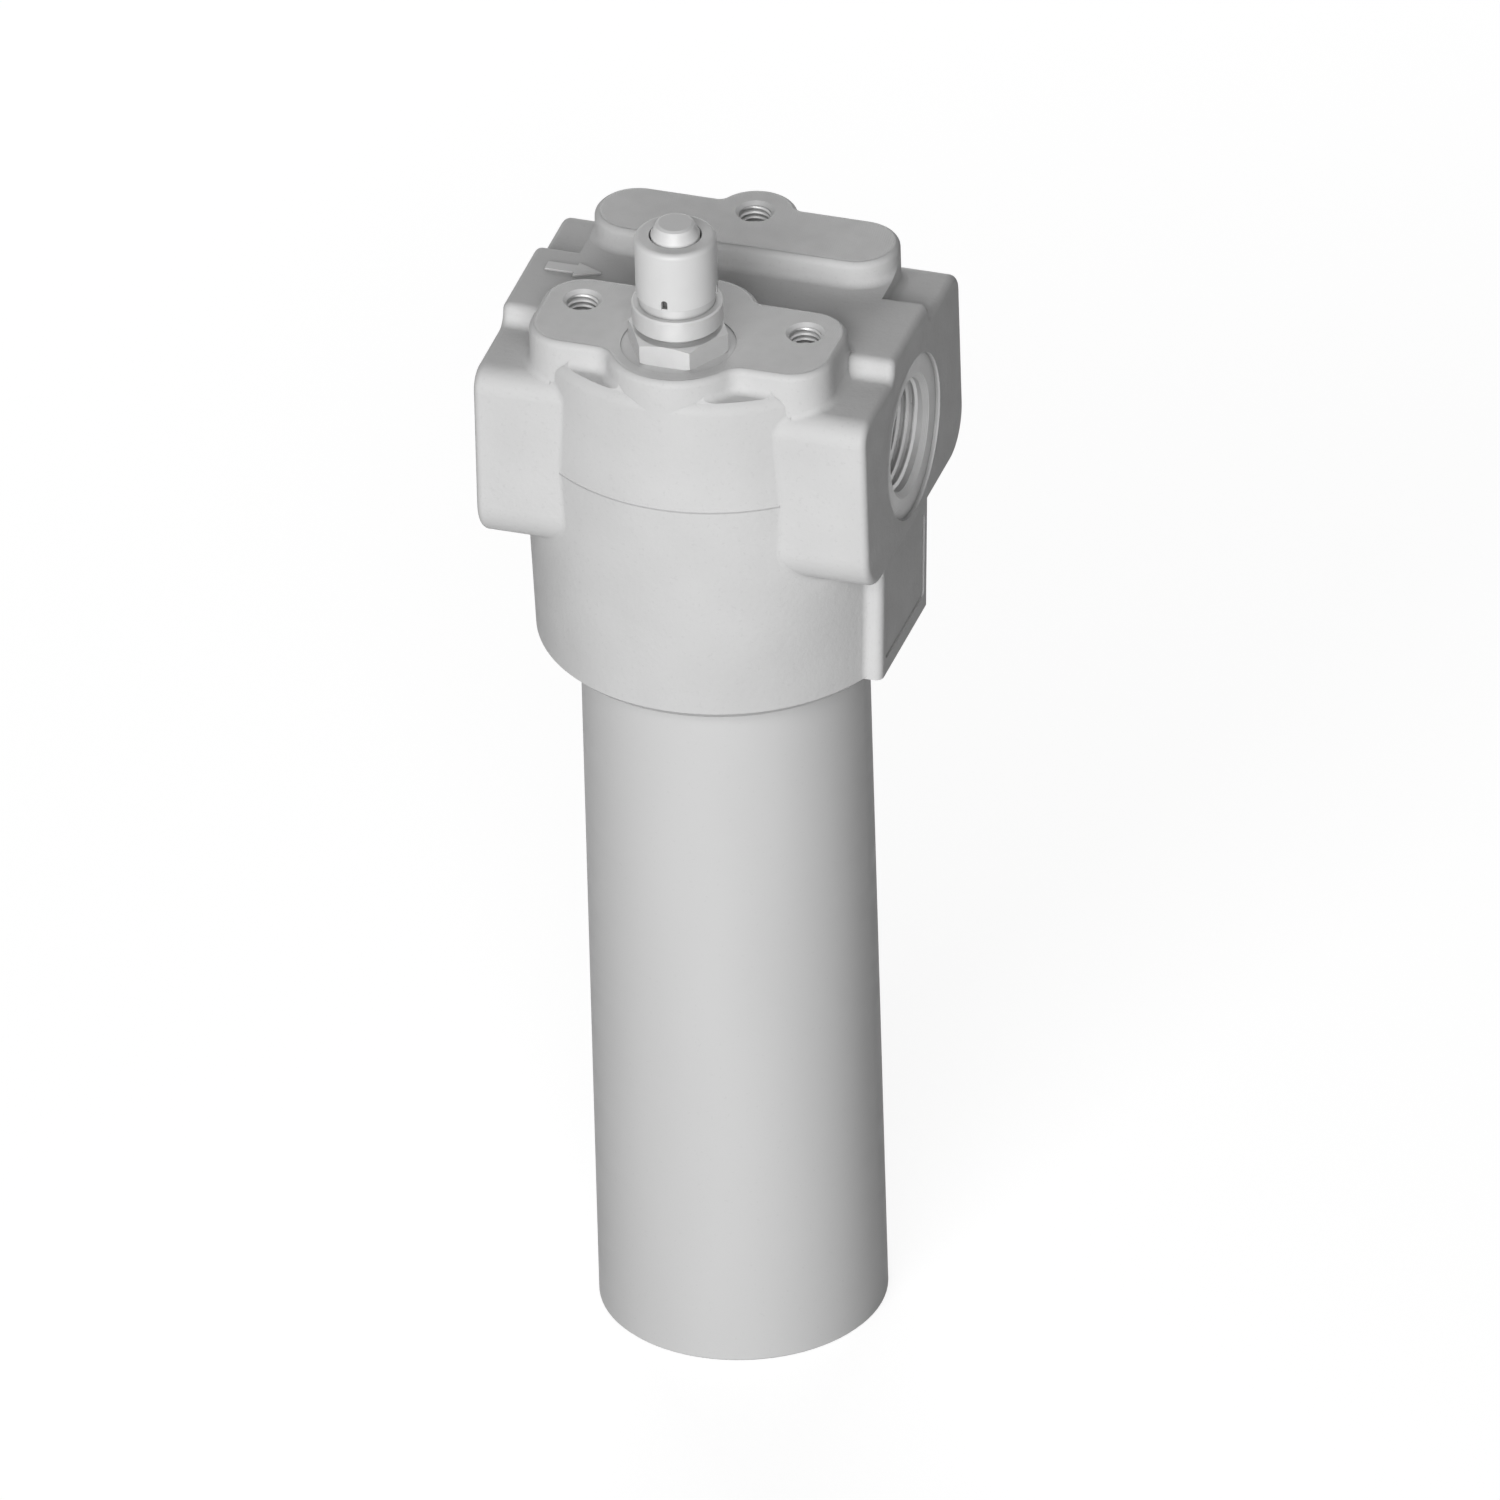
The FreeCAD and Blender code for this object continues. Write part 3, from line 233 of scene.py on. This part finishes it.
def add_area_light(name, direction, power):
    """Soft square lamp that looks at the filter's middle from a direction."""
    data = bpy.data.lights.new(name, "AREA")
    data.size = LAMP_SIZE
    data.energy = power
    lamp = add_object(name, data)
    middle = (cad_box[0] + cad_box[1]) / 2
    lamp.location = middle + direction.normalized() * LAMP_DISTANCE
    lamp.rotation_mode = "QUATERNION"
    lamp.rotation_quaternion = direction.to_track_quat("Z", "Y")
    return lamp


def seen_directly(tree):
    """1 for camera, glossy and transmission rays, and 0 for the rays that light the object."""
    path = tree.nodes.new("ShaderNodeLightPath")
    seen = path.outputs["Is Camera Ray"]
    for ray in ("Is Glossy Ray", "Is Transmission Ray"):
        either = tree.nodes.new("ShaderNodeMath")
        either.operation = "MAXIMUM"
        tree.links.new(seen, either.inputs[0])
        tree.links.new(path.outputs[ray], either.inputs[1])
        seen = either.outputs[0]
    return seen


def add_world():
    """Even soft light; what the camera and reflections see of it is white."""
    world = bpy.data.worlds.new("studio")
    bpy.context.scene.world = world
    world.use_nodes = True
    tree = world.node_tree
    tree.nodes.clear()
    output = tree.nodes.new("ShaderNodeOutputWorld")
    mix = tree.nodes.new("ShaderNodeMixShader")
    tree.links.new(seen_directly(tree), mix.inputs[0])
    for socket, strength in ((mix.inputs[1], WORLD_STRENGTH), (mix.inputs[2], 1.0)):
        background = tree.nodes.new("ShaderNodeBackground")
        background.inputs["Color"].default_value = (1, 1, 1, 1)
        background.inputs["Strength"].default_value = strength
        tree.links.new(background.outputs[0], socket)
    tree.links.new(mix.outputs[0], output.inputs["Surface"])


def add_floor():
    """Pale floor that keeps the filter's shadow."""
    mesh = bpy.data.meshes.new("floor")
    half = FLOOR_HALF
    corners = [(-half, -half, 0), (half, -half, 0), (half, half, 0), (-half, half, 0)]
    mesh.from_pydata(corners, [], [(0, 1, 2, 3)])
    floor = add_object("floor", mesh)
    material = bpy.data.materials.new("floor")
    material.use_nodes = True
    tree = material.node_tree
    tree.nodes.clear()
    output = tree.nodes.new("ShaderNodeOutputMaterial")
    add = tree.nodes.new("ShaderNodeAddShader")
    diffuse = tree.nodes.new("ShaderNodeBsdfDiffuse")
    diffuse.inputs["Color"].default_value = (FLOOR_GREY, FLOOR_GREY, FLOOR_GREY, 1)
    glow = tree.nodes.new("ShaderNodeEmission")
    strength = tree.nodes.new("ShaderNodeMath")
    strength.operation = "MULTIPLY"
    strength.inputs[1].default_value = FLOOR_GLOW
    tree.links.new(seen_directly(tree), strength.inputs[0])
    tree.links.new(strength.outputs[0], glow.inputs["Strength"])
    tree.links.new(diffuse.outputs[0], add.inputs[0])
    tree.links.new(glow.outputs[0], add.inputs[1])
    tree.links.new(add.outputs[0], output.inputs["Surface"])
    mesh.materials.append(material)


def grey(value, warm=0.0):
    """Linear colour of a grey, with more red and less blue where it is warm."""
    return (value * (1 + warm), value, value * (1 - warm))


class Surface:
    """A node material with the building steps that the finishes share."""

    def __init__(self, name, roughness, metallic=0.0):
        self.material = bpy.data.materials.new(name)
        self.material.use_nodes = True
        self.tree = self.material.node_tree
        self.shader = self.tree.nodes["Principled BSDF"]
        self.base_roughness = roughness
        self.preset("Roughness", roughness)
        self.preset("Metallic", metallic)
        self.place = self.tree.nodes.new("ShaderNodeTexCoord").outputs["Object"]
        self.normal = None

    def preset(self, socket, value):
        """One value all over the surface, on the shader's own socket."""
        self.shader.inputs[socket].default_value = value

    def drive(self, socket, source):
        """A value of the shader that changes over the surface."""
        self.link(source, self.shader.inputs[socket])

    def link(self, source, target):
        self.tree.links.new(source, target)

    def node(self, kind, **inputs):
        """New node with values on its own sockets."""
        made = self.tree.nodes.new(kind)
        for key, value in inputs.items():
            made.inputs[key.replace("_", " ")].default_value = value
        return made

    def math(self, operation, *values):
        """Result of a math node whose values are numbers or sockets."""
        made = self.tree.nodes.new("ShaderNodeMath")
        made.operation = operation
        for socket, value in zip(made.inputs, values):
            if isinstance(value, (int, float)):
                socket.default_value = value
            else:
                self.link(value, socket)
        return made.outputs[0]

    def product(self, first, *others):
        """All values multiplied, which is where every mask is 1."""
        for other in others:
            first = self.math("MULTIPLY", first, other)
        return first

    def largest(self, first, *others):
        """Highest of the values, which is where any mask is 1."""
        for other in others:
            first = self.math("MAXIMUM", first, other)
        return first

    def axis(self, name):
        """One coordinate of the surface point, in metres."""
        split = self.node("ShaderNodeSeparateXYZ")
        self.link(self.place, split.inputs[0])
        return split.outputs[name]

    def offset(self, axis, centre):
        """Distance along one axis from a place on it."""
        return self.math("ABSOLUTE", self.math("SUBTRACT", self.axis(axis), centre))

    def distance(self, plane, a0, b0):
        """Distance from an axis through (a0, b0) across a coordinate plane such as XY."""
        a = self.math("SUBTRACT", self.axis(plane[0]), a0)
        b = self.math("SUBTRACT", self.axis(plane[1]), b0)
        return self.math("SQRT", self.math("ADD", self.product(a, a), self.product(b, b)))

    def noise(self, size, detail, stretch=(1, 1, 1)):
        """Noise with features of about one size in metres, stretched along the axes."""
        mapping = self.node("ShaderNodeMapping")
        mapping.inputs["Scale"].default_value = [1 / s for s in stretch]
        made = self.node("ShaderNodeTexNoise", Scale=1 / size, Detail=detail)
        self.link(self.place, mapping.inputs["Vector"])
        self.link(mapping.outputs[0], made.inputs["Vector"])
        return made.outputs["Fac"]

    def ramp(self, value, low, high, out_low, out_high):
        """Straight line between two values, held level outside them."""
        made = self.node("ShaderNodeMapRange")
        made.clamp = True
        for socket, number in zip(made.inputs[1:5], (low, high, out_low, out_high)):
            socket.default_value = number
        self.link(value, made.inputs[0])
        return made.outputs[0]

    def below(self, value, limit, soft=MASK_EDGE):
        """1 below a limit and 0 above it, with a soft edge."""
        return self.ramp(value, limit - soft, limit + soft, 1, 0)

    def above(self, value, limit, soft=MASK_EDGE):
        """1 above a limit and 0 below it, with a soft edge."""
        return self.ramp(value, limit - soft, limit + soft, 0, 1)

    def mix_colour(self, factor, first, second):
        """Colour between two colours or sockets."""
        made = self.tree.nodes.new("ShaderNodeMix")
        made.data_type = "RGBA"
        self.link(factor, made.inputs["Factor"])
        for socket, value in ((made.inputs[MIX_FIRST], first), (made.inputs[MIX_SECOND], second)):
            if isinstance(value, tuple):
                socket.default_value = (*value, 1)
            else:
                self.link(value, socket)
        return made.outputs[MIX_RESULT]

    def mottled(self, value, factor, darkest, lightest):
        """Grey that follows a factor from a darkest to a lightest multiple of its value."""
        return self.mix_colour(factor, grey(value * darkest), grey(value * lightest))

    def shade(self, size, stretch=(1, 1, 1)):
        """Large soft patches from 0 to 1."""
        return self.ramp(self.noise(size, 2, stretch), *SHADE_NOISE, 0, 1)

    def speckled(self, colour, speck, size, start, full, strength):
        """Small specks of another colour where the noise is above a start value."""
        return self.mix_colour(self.ramp(self.noise(size, 2), start, full, 0, strength), colour, speck)

    def patchy_roughness(self, size, less, more, stretch=(1, 1, 1)):
        """Roughness in patches between less and more than the material's own."""
        patches = self.noise(size, 3, stretch)
        return self.ramp(patches, *ROUGH_NOISE, self.base_roughness - less, self.base_roughness + more)

    def painted_crease_shade(self, distance, depth):
        """Painted shade: darkens towards 1 - depth in corners closer together than a distance in metres."""
        made = self.tree.nodes.new("ShaderNodeAmbientOcclusion")
        made.samples = CREASE_SHADE_SAMPLES
        made.only_local = True
        made.inputs["Distance"].default_value = distance
        return self.ramp(made.outputs["AO"], CREASE_SHADE_BOTTOM, CREASE_SHADE_OPEN, 1 - depth, 1.0)

    def tint(self, colour, factor):
        """Colour multiplied by a single value."""
        made = self.node("ShaderNodeVectorMath")
        made.operation = "MULTIPLY"
        self.link(colour, made.inputs[0])
        self.link(factor, made.inputs[1])
        return made.outputs[0]

    def rings(self, distance, pitch):
        """Ripple with one crest to a pitch, as a lathe or a face mill leaves it."""
        return self.math("SINE", self.math("MULTIPLY", distance, 2 * math.pi / pitch))

    def bump(self, height, distance, strength):
        """Adds relief of a depth in metres on top of what is there."""
        made = self.node("ShaderNodeBump", Strength=strength, Distance=distance)
        self.link(height, made.inputs["Height"])
        if self.normal:
            self.link(self.normal, made.inputs["Normal"])
        self.normal = made.outputs[0]
        self.drive("Normal", self.normal)


def port_seats(surface, port_distance):
    """1 on the spotfaces and in the outer bores of both ports."""
    across = surface.offset("X", 0.0)
    inside = surface.below(port_distance, SPOTFACE_R)
    under_face = surface.below(across, block_x - SPOTFACE_BELOW_BLOCK)
    return surface.product(inside, under_face, surface.above(across, PORT_MASK_INNER_X))


def pad_tops(surface):
    """1 on the milled tops of the pads."""
    return surface.above(surface.axis("Z"), pad_z - PAD_SKIN)


def indicator_seat(surface):
    """1 on the faced boss round the indicator."""
    inside = surface.below(surface.distance("XY", indicator_x, indicator_y), INDICATOR_SEAT_R)
    return surface.product(inside, surface.above(surface.axis("Z"), pad_z - INDICATOR_SEAT_DEPTH))


def bowl_mouth(surface, head_distance):
    """1 in the bore that takes the bowl."""
    inside = surface.below(head_distance, BOWL_MOUTH_R)
    return surface.product(inside, surface.below(surface.axis("Z"), port_z - BOWL_MOUTH_BELOW_PORT))


def hole_places():
    """Axes of the mounting holes in the XY plane; the first is at the back."""
    places = []
    for i in range(hole_count):
        angle = math.radians(90 + 360 / hole_count * i)
        places.append((hole_pcd / 2 * math.cos(angle), hole_pcd / 2 * math.sin(angle)))
    return places


def mounting_holes(surface):
    """1 inside the mounting holes and their chamfers."""
    insides = []
    for x, y in hole_places():
        insides.append(surface.below(surface.distance("XY", x, y), hole_r + HOLE_CHAMFER))
    in_depth = surface.above(surface.axis("Z"), pad_z - HOLE_MASK_DEPTH, HOLE_MASK_EDGE)
    return surface.product(surface.largest(*insides), in_depth)


def arrow_top(surface):
    """1 on top of the cast flow arrow, which is painted lighter: partly a painted highlight that picks the raised
    arrow out, partly paint rubbed thin.
    """
    along = surface.below(surface.offset("X", ARROW_X), ARROW_HALF_LENGTH, ARROW_EDGE)
    across = surface.below(surface.offset("Y", ARROW_Y), ARROW_HALF_WIDTH, ARROW_EDGE)
    return surface.product(along, across, surface.below(surface.offset("Z", arrow_z), ARROW_HALF_HEIGHT))


def parting_line(surface, head_distance):
    """Fettled seam of the two mould halves, on the round body at the ports' height."""
    seam = surface.below(surface.offset("Z", port_z), SEAM_HALF_HEIGHT, SEAM_EDGE)
    outer = surface.below(head_distance, body_r + SEAM_OUTSIDE_BODY)
    inner = surface.above(head_distance, body_r - SEAM_INSIDE_BODY)
    return surface.product(seam, outer, inner)


def cast_material():
    """Painted casting with machined port seats, pad tops and bores, with painted shade in its creases."""
    surface = Surface("cast_housing", 0.7)
    port_distance = surface.distance("YZ", 0, port_z)
    head_distance = surface.distance("XY", 0, 0)
    seats = port_seats(surface, port_distance)
    tops = pad_tops(surface)
    machined = surface.largest(seats, tops, indicator_seat(surface), bowl_mouth(surface, head_distance),
                               mounting_holes(surface))
    painted = surface.math("SUBTRACT", 1.0, machined)

    paint = surface.mottled(CAST_GREY, surface.shade(35 * MM), darkest=0.965, lightest=1.03)
    paint = surface.speckled(paint, grey(CAST_GREY * 0.86), size=1.1 * MM, start=0.62, full=0.72, strength=0.35)
    # Painted highlight on the arrow's top, which also stands for paint rubbed thin
    paint = surface.mix_colour(arrow_top(surface), paint, grey(CAST_GREY * ARROW_WEAR_AND_HIGHLIGHT))
    metal = surface.mottled(BARE_GREY, surface.noise(4 * MM, 3), darkest=0.93, lightest=1.04)
    # Painted shade: the paint and the bare metal of the casting darken in its corners and creases
    wide_crease_shade = surface.painted_crease_shade(distance=2.2 * MM, depth=0.25)
    narrow_crease_shade = surface.painted_crease_shade(distance=0.8 * MM, depth=0.35)
    surface.drive("Base Color", surface.tint(surface.mix_colour(machined, paint, metal),
                                             surface.product(wide_crease_shade, narrow_crease_shade)))

    surface.preset("Specular IOR Level", SATIN_SPECULAR)
    surface.drive("Metallic", surface.product(machined, MACHINED_METALLIC))
    paint_rough = surface.patchy_roughness(6 * MM, less=0.08, more=0.08)
    surface.drive("Roughness", surface.math("SUBTRACT", paint_rough, surface.product(machined, MACHINED_SMOOTHER)))

    grain = surface.product(surface.noise(1.6 * MM, 4), painted)
    surface.bump(grain, distance=0.18 * MM, strength=0.6)
    swell = surface.product(surface.noise(11 * MM, 2), painted)
    surface.bump(swell, distance=0.5 * MM, strength=0.25)
    surface.bump(parting_line(surface, head_distance), distance=0.35 * MM, strength=0.8)
    spotfacing = surface.product(surface.rings(port_distance, SPOTFACE_PITCH), seats)
    surface.bump(spotfacing, distance=0.04 * MM, strength=0.6)
    milling = surface.product(surface.rings(surface.distance("XY", MILL_CENTRE_X, 0.0), MILL_PITCH), tops)
    surface.bump(milling, distance=0.03 * MM, strength=0.5)
    return surface.material


def bowl_material():
    """Smooth turned bowl with a satin coat all over, its thread included."""
    surface = Surface("bowl_steel", 0.62)
    surface.preset("Specular IOR Level", SATIN_SPECULAR)
    coat = surface.mottled(BOWL_GREY, surface.shade(50 * MM, (1, 1, 3)), darkest=0.97, lightest=1.03)
    coat = surface.speckled(coat, grey(BOWL_GREY * 0.85), size=0.9 * MM, start=0.66, full=0.74, strength=0.25)
    surface.drive("Base Color", coat)
    surface.drive("Roughness", surface.patchy_roughness(12 * MM, less=0.06, more=0.06, stretch=(1, 1, 0.3)))
    turning_lines = surface.noise(0.8 * MM, 2, (40, 40, 0.6))
    surface.bump(turning_lines, distance=0.03 * MM, strength=0.5)
    surface.bump(surface.noise(1.2 * MM, 3), distance=0.04 * MM, strength=0.4)
    return surface.material


def metal_material(name, value, roughness, centre=(0.0, 0.0), pitch=0.3 * MM, metallic=0.75, shade_z=None):
    """Turned bare metal with painted shade in its creases, and painted shade in dark grey above a given height;
    rings run round the given vertical axis.
    """
    surface = Surface(name, roughness, metallic)
    colour = surface.mottled(value, surface.noise(3 * MM, 3), darkest=0.94, lightest=1.05)
    if shade_z is not None:
        # Painted shade: dark grey above the given height, where the part sits in shadow inside a cover
        black = surface.above(surface.axis("Z"), shade_z)
        colour = surface.mix_colour(black, colour, grey(SLOT_SHADE_GREY))
    # Painted shade: the metal darkens in its creases
    surface.drive("Base Color", surface.tint(colour, surface.painted_crease_shade(distance=0.9 * MM, depth=0.45)))
    surface.drive("Roughness", surface.patchy_roughness(1.5 * MM, less=0.06, more=0.08))
    marks = surface.math("ADD", surface.distance("XY", *centre), surface.axis("Z"))
    surface.bump(surface.rings(marks, pitch), distance=0.02 * MM, strength=0.5)
    return surface.material


def plastic_material(name, value, roughness):
    """Satin moulded plastic with a fine spark-eroded grain and painted shade in its creases."""
    surface = Surface(name, roughness)
    surface.preset("IOR", PLASTIC_IOR)
    colour = surface.mottled(value, surface.noise(6 * MM, 2), darkest=0.97, lightest=1.03)
    # Painted shade: the plastic darkens in its creases
    surface.drive("Base Color", surface.tint(colour, surface.painted_crease_shade(distance=0.9 * MM, depth=0.6)))
    surface.drive("Roughness", surface.patchy_roughness(2 * MM, less=0.05, more=0.07))
    surface.bump(surface.noise(0.3 * MM, 2), distance=0.02 * MM, strength=0.5)
    return surface.material


def rubber_material():
    """Dull black rubber of the seals."""
    surface = Surface("seal_rubber", 0.55)
    surface.drive("Base Color", surface.mix_colour(surface.noise(2 * MM, 3), grey(0.018), grey(0.032)))
    surface.drive("Roughness", surface.patchy_roughness(1 * MM, less=0.07, more=0.09))
    surface.bump(surface.noise(0.4 * MM, 3), distance=0.02 * MM, strength=0.5)
    return surface.material


def media_material():
    """Pleated glass-fibre sheet over a fine wire net, with a slight warm tone."""
    surface = Surface("filter_media", 0.85)
    fibres = surface.noise(0.6 * MM, 4)
    surface.drive("Base Color", surface.mix_colour(fibres, grey(0.66, warm=0.03), grey(0.78, warm=0.03)))
    surface.drive("Roughness", surface.patchy_roughness(1 * MM, less=0.07, more=0.07))
    surface.bump(surface.noise(0.5 * MM, 4, (1, 1, 3)), distance=0.08 * MM, strength=0.7)
    return surface.material


def thread(name, r_root, r_crest, length, pitch, place, axis, material, body, steps=THREAD_STEPS):
    """Helical thread ridge between a root radius and a crest radius along an axis from a place."""
    flank = THREAD_FLANK * pitch
    crest = THREAD_CREST * pitch
    profile = [(r_root, -flank), (r_crest, -crest), (r_crest, crest), (r_root, flank)]
    turns = (length - 2 * flank) / pitch
    count = int(turns * steps)
    runout_steps = steps * THREAD_RUNOUT
    turn = Vector(axis).normalized().to_track_quat("Z", "Y").to_matrix()
    origin = Vector(place)
    verts = []
    for i in range(count + 1):
        angle = 2 * math.pi * i / steps
        along = flank + pitch * i / steps
        height = min(1.0, i / runout_steps, (count - i) / runout_steps)
        for r, offset in profile:
            radius = r_root + (r - r_root) * height
            local = Vector((radius * math.cos(angle), radius * math.sin(angle), along + offset))
            verts.append(origin + turn @ local)
    size = len(profile)
    inward = r_crest < r_root
    faces = []
    for i in range(count):
        for k in range(size - 1):
            a = i * size + k
            quad = (a, a + 1, a + size + 1, a + size)
            faces.append(quad if inward else quad[::-1])
    mesh = bpy.data.meshes.new(name)
    mesh.from_pydata(verts, [], faces)
    mesh.materials.append(material)
    piece = add_object(name, mesh)
    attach(piece, body)
    smooth(mesh, THREAD_SHARP_ANGLE)


def add_threads(bare, bowl_finish):
    """Threads of both ports, of the bowl and its bore, and of the mounting holes."""
    root = port_core_r - PORT_THREAD_OFF_WALL
    for name, side in (("inlet_thread", -1), ("outlet_thread", 1)):
        end_x = side * (block_x - SPOTFACE_DEPTH - PORT_CHAMFER)
        thread(name, root, root - PORT_THREAD_DEPTH, port_length - PORT_THREAD_SHORTER, PORT_THREAD_PITCH,
               (end_x, 0, port_z), (-side, 0, 0), bare, "housing")
    thread("bowl_thread", BOWL_ROOT_R, BOWL_ROOT_R + BOWL_THREAD_DEPTH, BOWL_THREAD_LENGTH, BOWL_THREAD_PITCH,
           (0, 0, bowl_thread_z), (0, 0, 1), bowl_finish, "bowl")
    thread("head_thread", HEAD_BORE_R, HEAD_BORE_R - BOWL_THREAD_DEPTH, BOWL_THREAD_LENGTH, BOWL_THREAD_PITCH,
           (0, 0, bowl_thread_z - BOWL_THREAD_PITCH / 2), (0, 0, 1), bare, "housing")
    root = hole_r - MOUNT_THREAD_OFF_WALL
    for i, (x, y) in enumerate(hole_places()):
        thread(f"mount_thread_{i + 1}", root, root - MOUNT_THREAD_DEPTH, MOUNT_THREAD_LENGTH, MOUNT_THREAD_PITCH,
               (x, y, pad_z - MOUNT_THREAD_BELOW_PAD), (0, 0, -1), bare, "housing",
               MOUNT_THREAD_STEPS)


def add_springs():
    """Copies of the springs on the housing in place of their CAD nodes; one that would lengthen as its joint moves
    is left.
    """
    for joint in frame["record"]["behaviour"]["joints"]:
        for row in joint.get("deforming_nodes", []):
            low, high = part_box(row["node"])
            fixed_z = row["fixed_end_z_m"]
            moving_z = low.z if fixed_z > high.z else high.z
            keep = abs(moving_z + sum(joint["range_m"]) - fixed_z) / abs(moving_z - fixed_z)
            if keep > 1:
                continue
            spring = add_object(row["node"] + "_coil", nodes[row["node"]].data.copy())
            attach(spring, "housing")
            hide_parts(row["node"])
            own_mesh(spring)


def smooth(mesh, sharp_angle):
    """Soft shading across tangent faces, with crisp real edges."""
    for polygon in mesh.polygons:
        polygon.use_smooth = True
    mesh.set_sharp_from_angle(angle=sharp_angle)


def dress(names, material):
    """Gives CAD nodes their material."""
    for name in names:
        node = nodes[name]
        node.data.materials.clear()
        node.data.materials.append(material)


add_camera()
add_world()
add_floor()
add_area_light("key", KEY_DIRECTION, KEY_POWER)
back_lamp = add_area_light("back", BACK_DIRECTION, BACK_POWER)
back_lamp.visible_glossy = False

bare_metal = metal_material("bare_cast", BARE_GREY, 0.4)
dress(["filter_head"], cast_material())
bowl_finish = bowl_material()
dress(["bowl"], bowl_finish)
dress(["outlet_spigot", "bypass_poppet", "indicator_piston", "stem_plug"],
      metal_material("turned_steel", 0.5, 0.35))
# Painted shade: the indicator body is dark grey above the cap's lower edge, inside the cap, where its slots look
# in
dress(["indicator_body"],
      metal_material("indicator_metal", 0.6, 0.42, centre=(indicator_x, indicator_y), pitch=0.22 * MM,
                     metallic=0.4, shade_z=cap_low.z))
dress(["element_top_cap", "element_bottom_cap", "element_core", "bypass_cage"],
      metal_material("element_metal", 0.55, 0.4))
dress(["bypass_spring", "piston_spring", "button_spring"], metal_material("spring_steel", 0.32, 0.35))
dress(["piston_magnet", "button_magnet"], metal_material("magnet", 0.2, 0.4))
dress(["bowl_oring", "element_oring", "indicator_seal_ring", "indicator_stem_oring"], rubber_material())
dress(["bowl_backup_ring"], plastic_material("backup_plastic", 0.7, 0.5))
dress(["element_pleat_pack"], media_material())
dress(["indicator_cap"], plastic_material("cap_plastic", PLASTIC_GREY, 0.42))
dress(["indicator_button"], plastic_material("button_plastic", PLASTIC_GREY * 1.03, 0.4))
for node in nodes.values():
    smooth(node.data, NODE_SHARP_ANGLE)
add_threads(bare_metal, bowl_finish)
add_springs()

scene = bpy.context.scene
scene.view_settings.view_transform = "Standard"
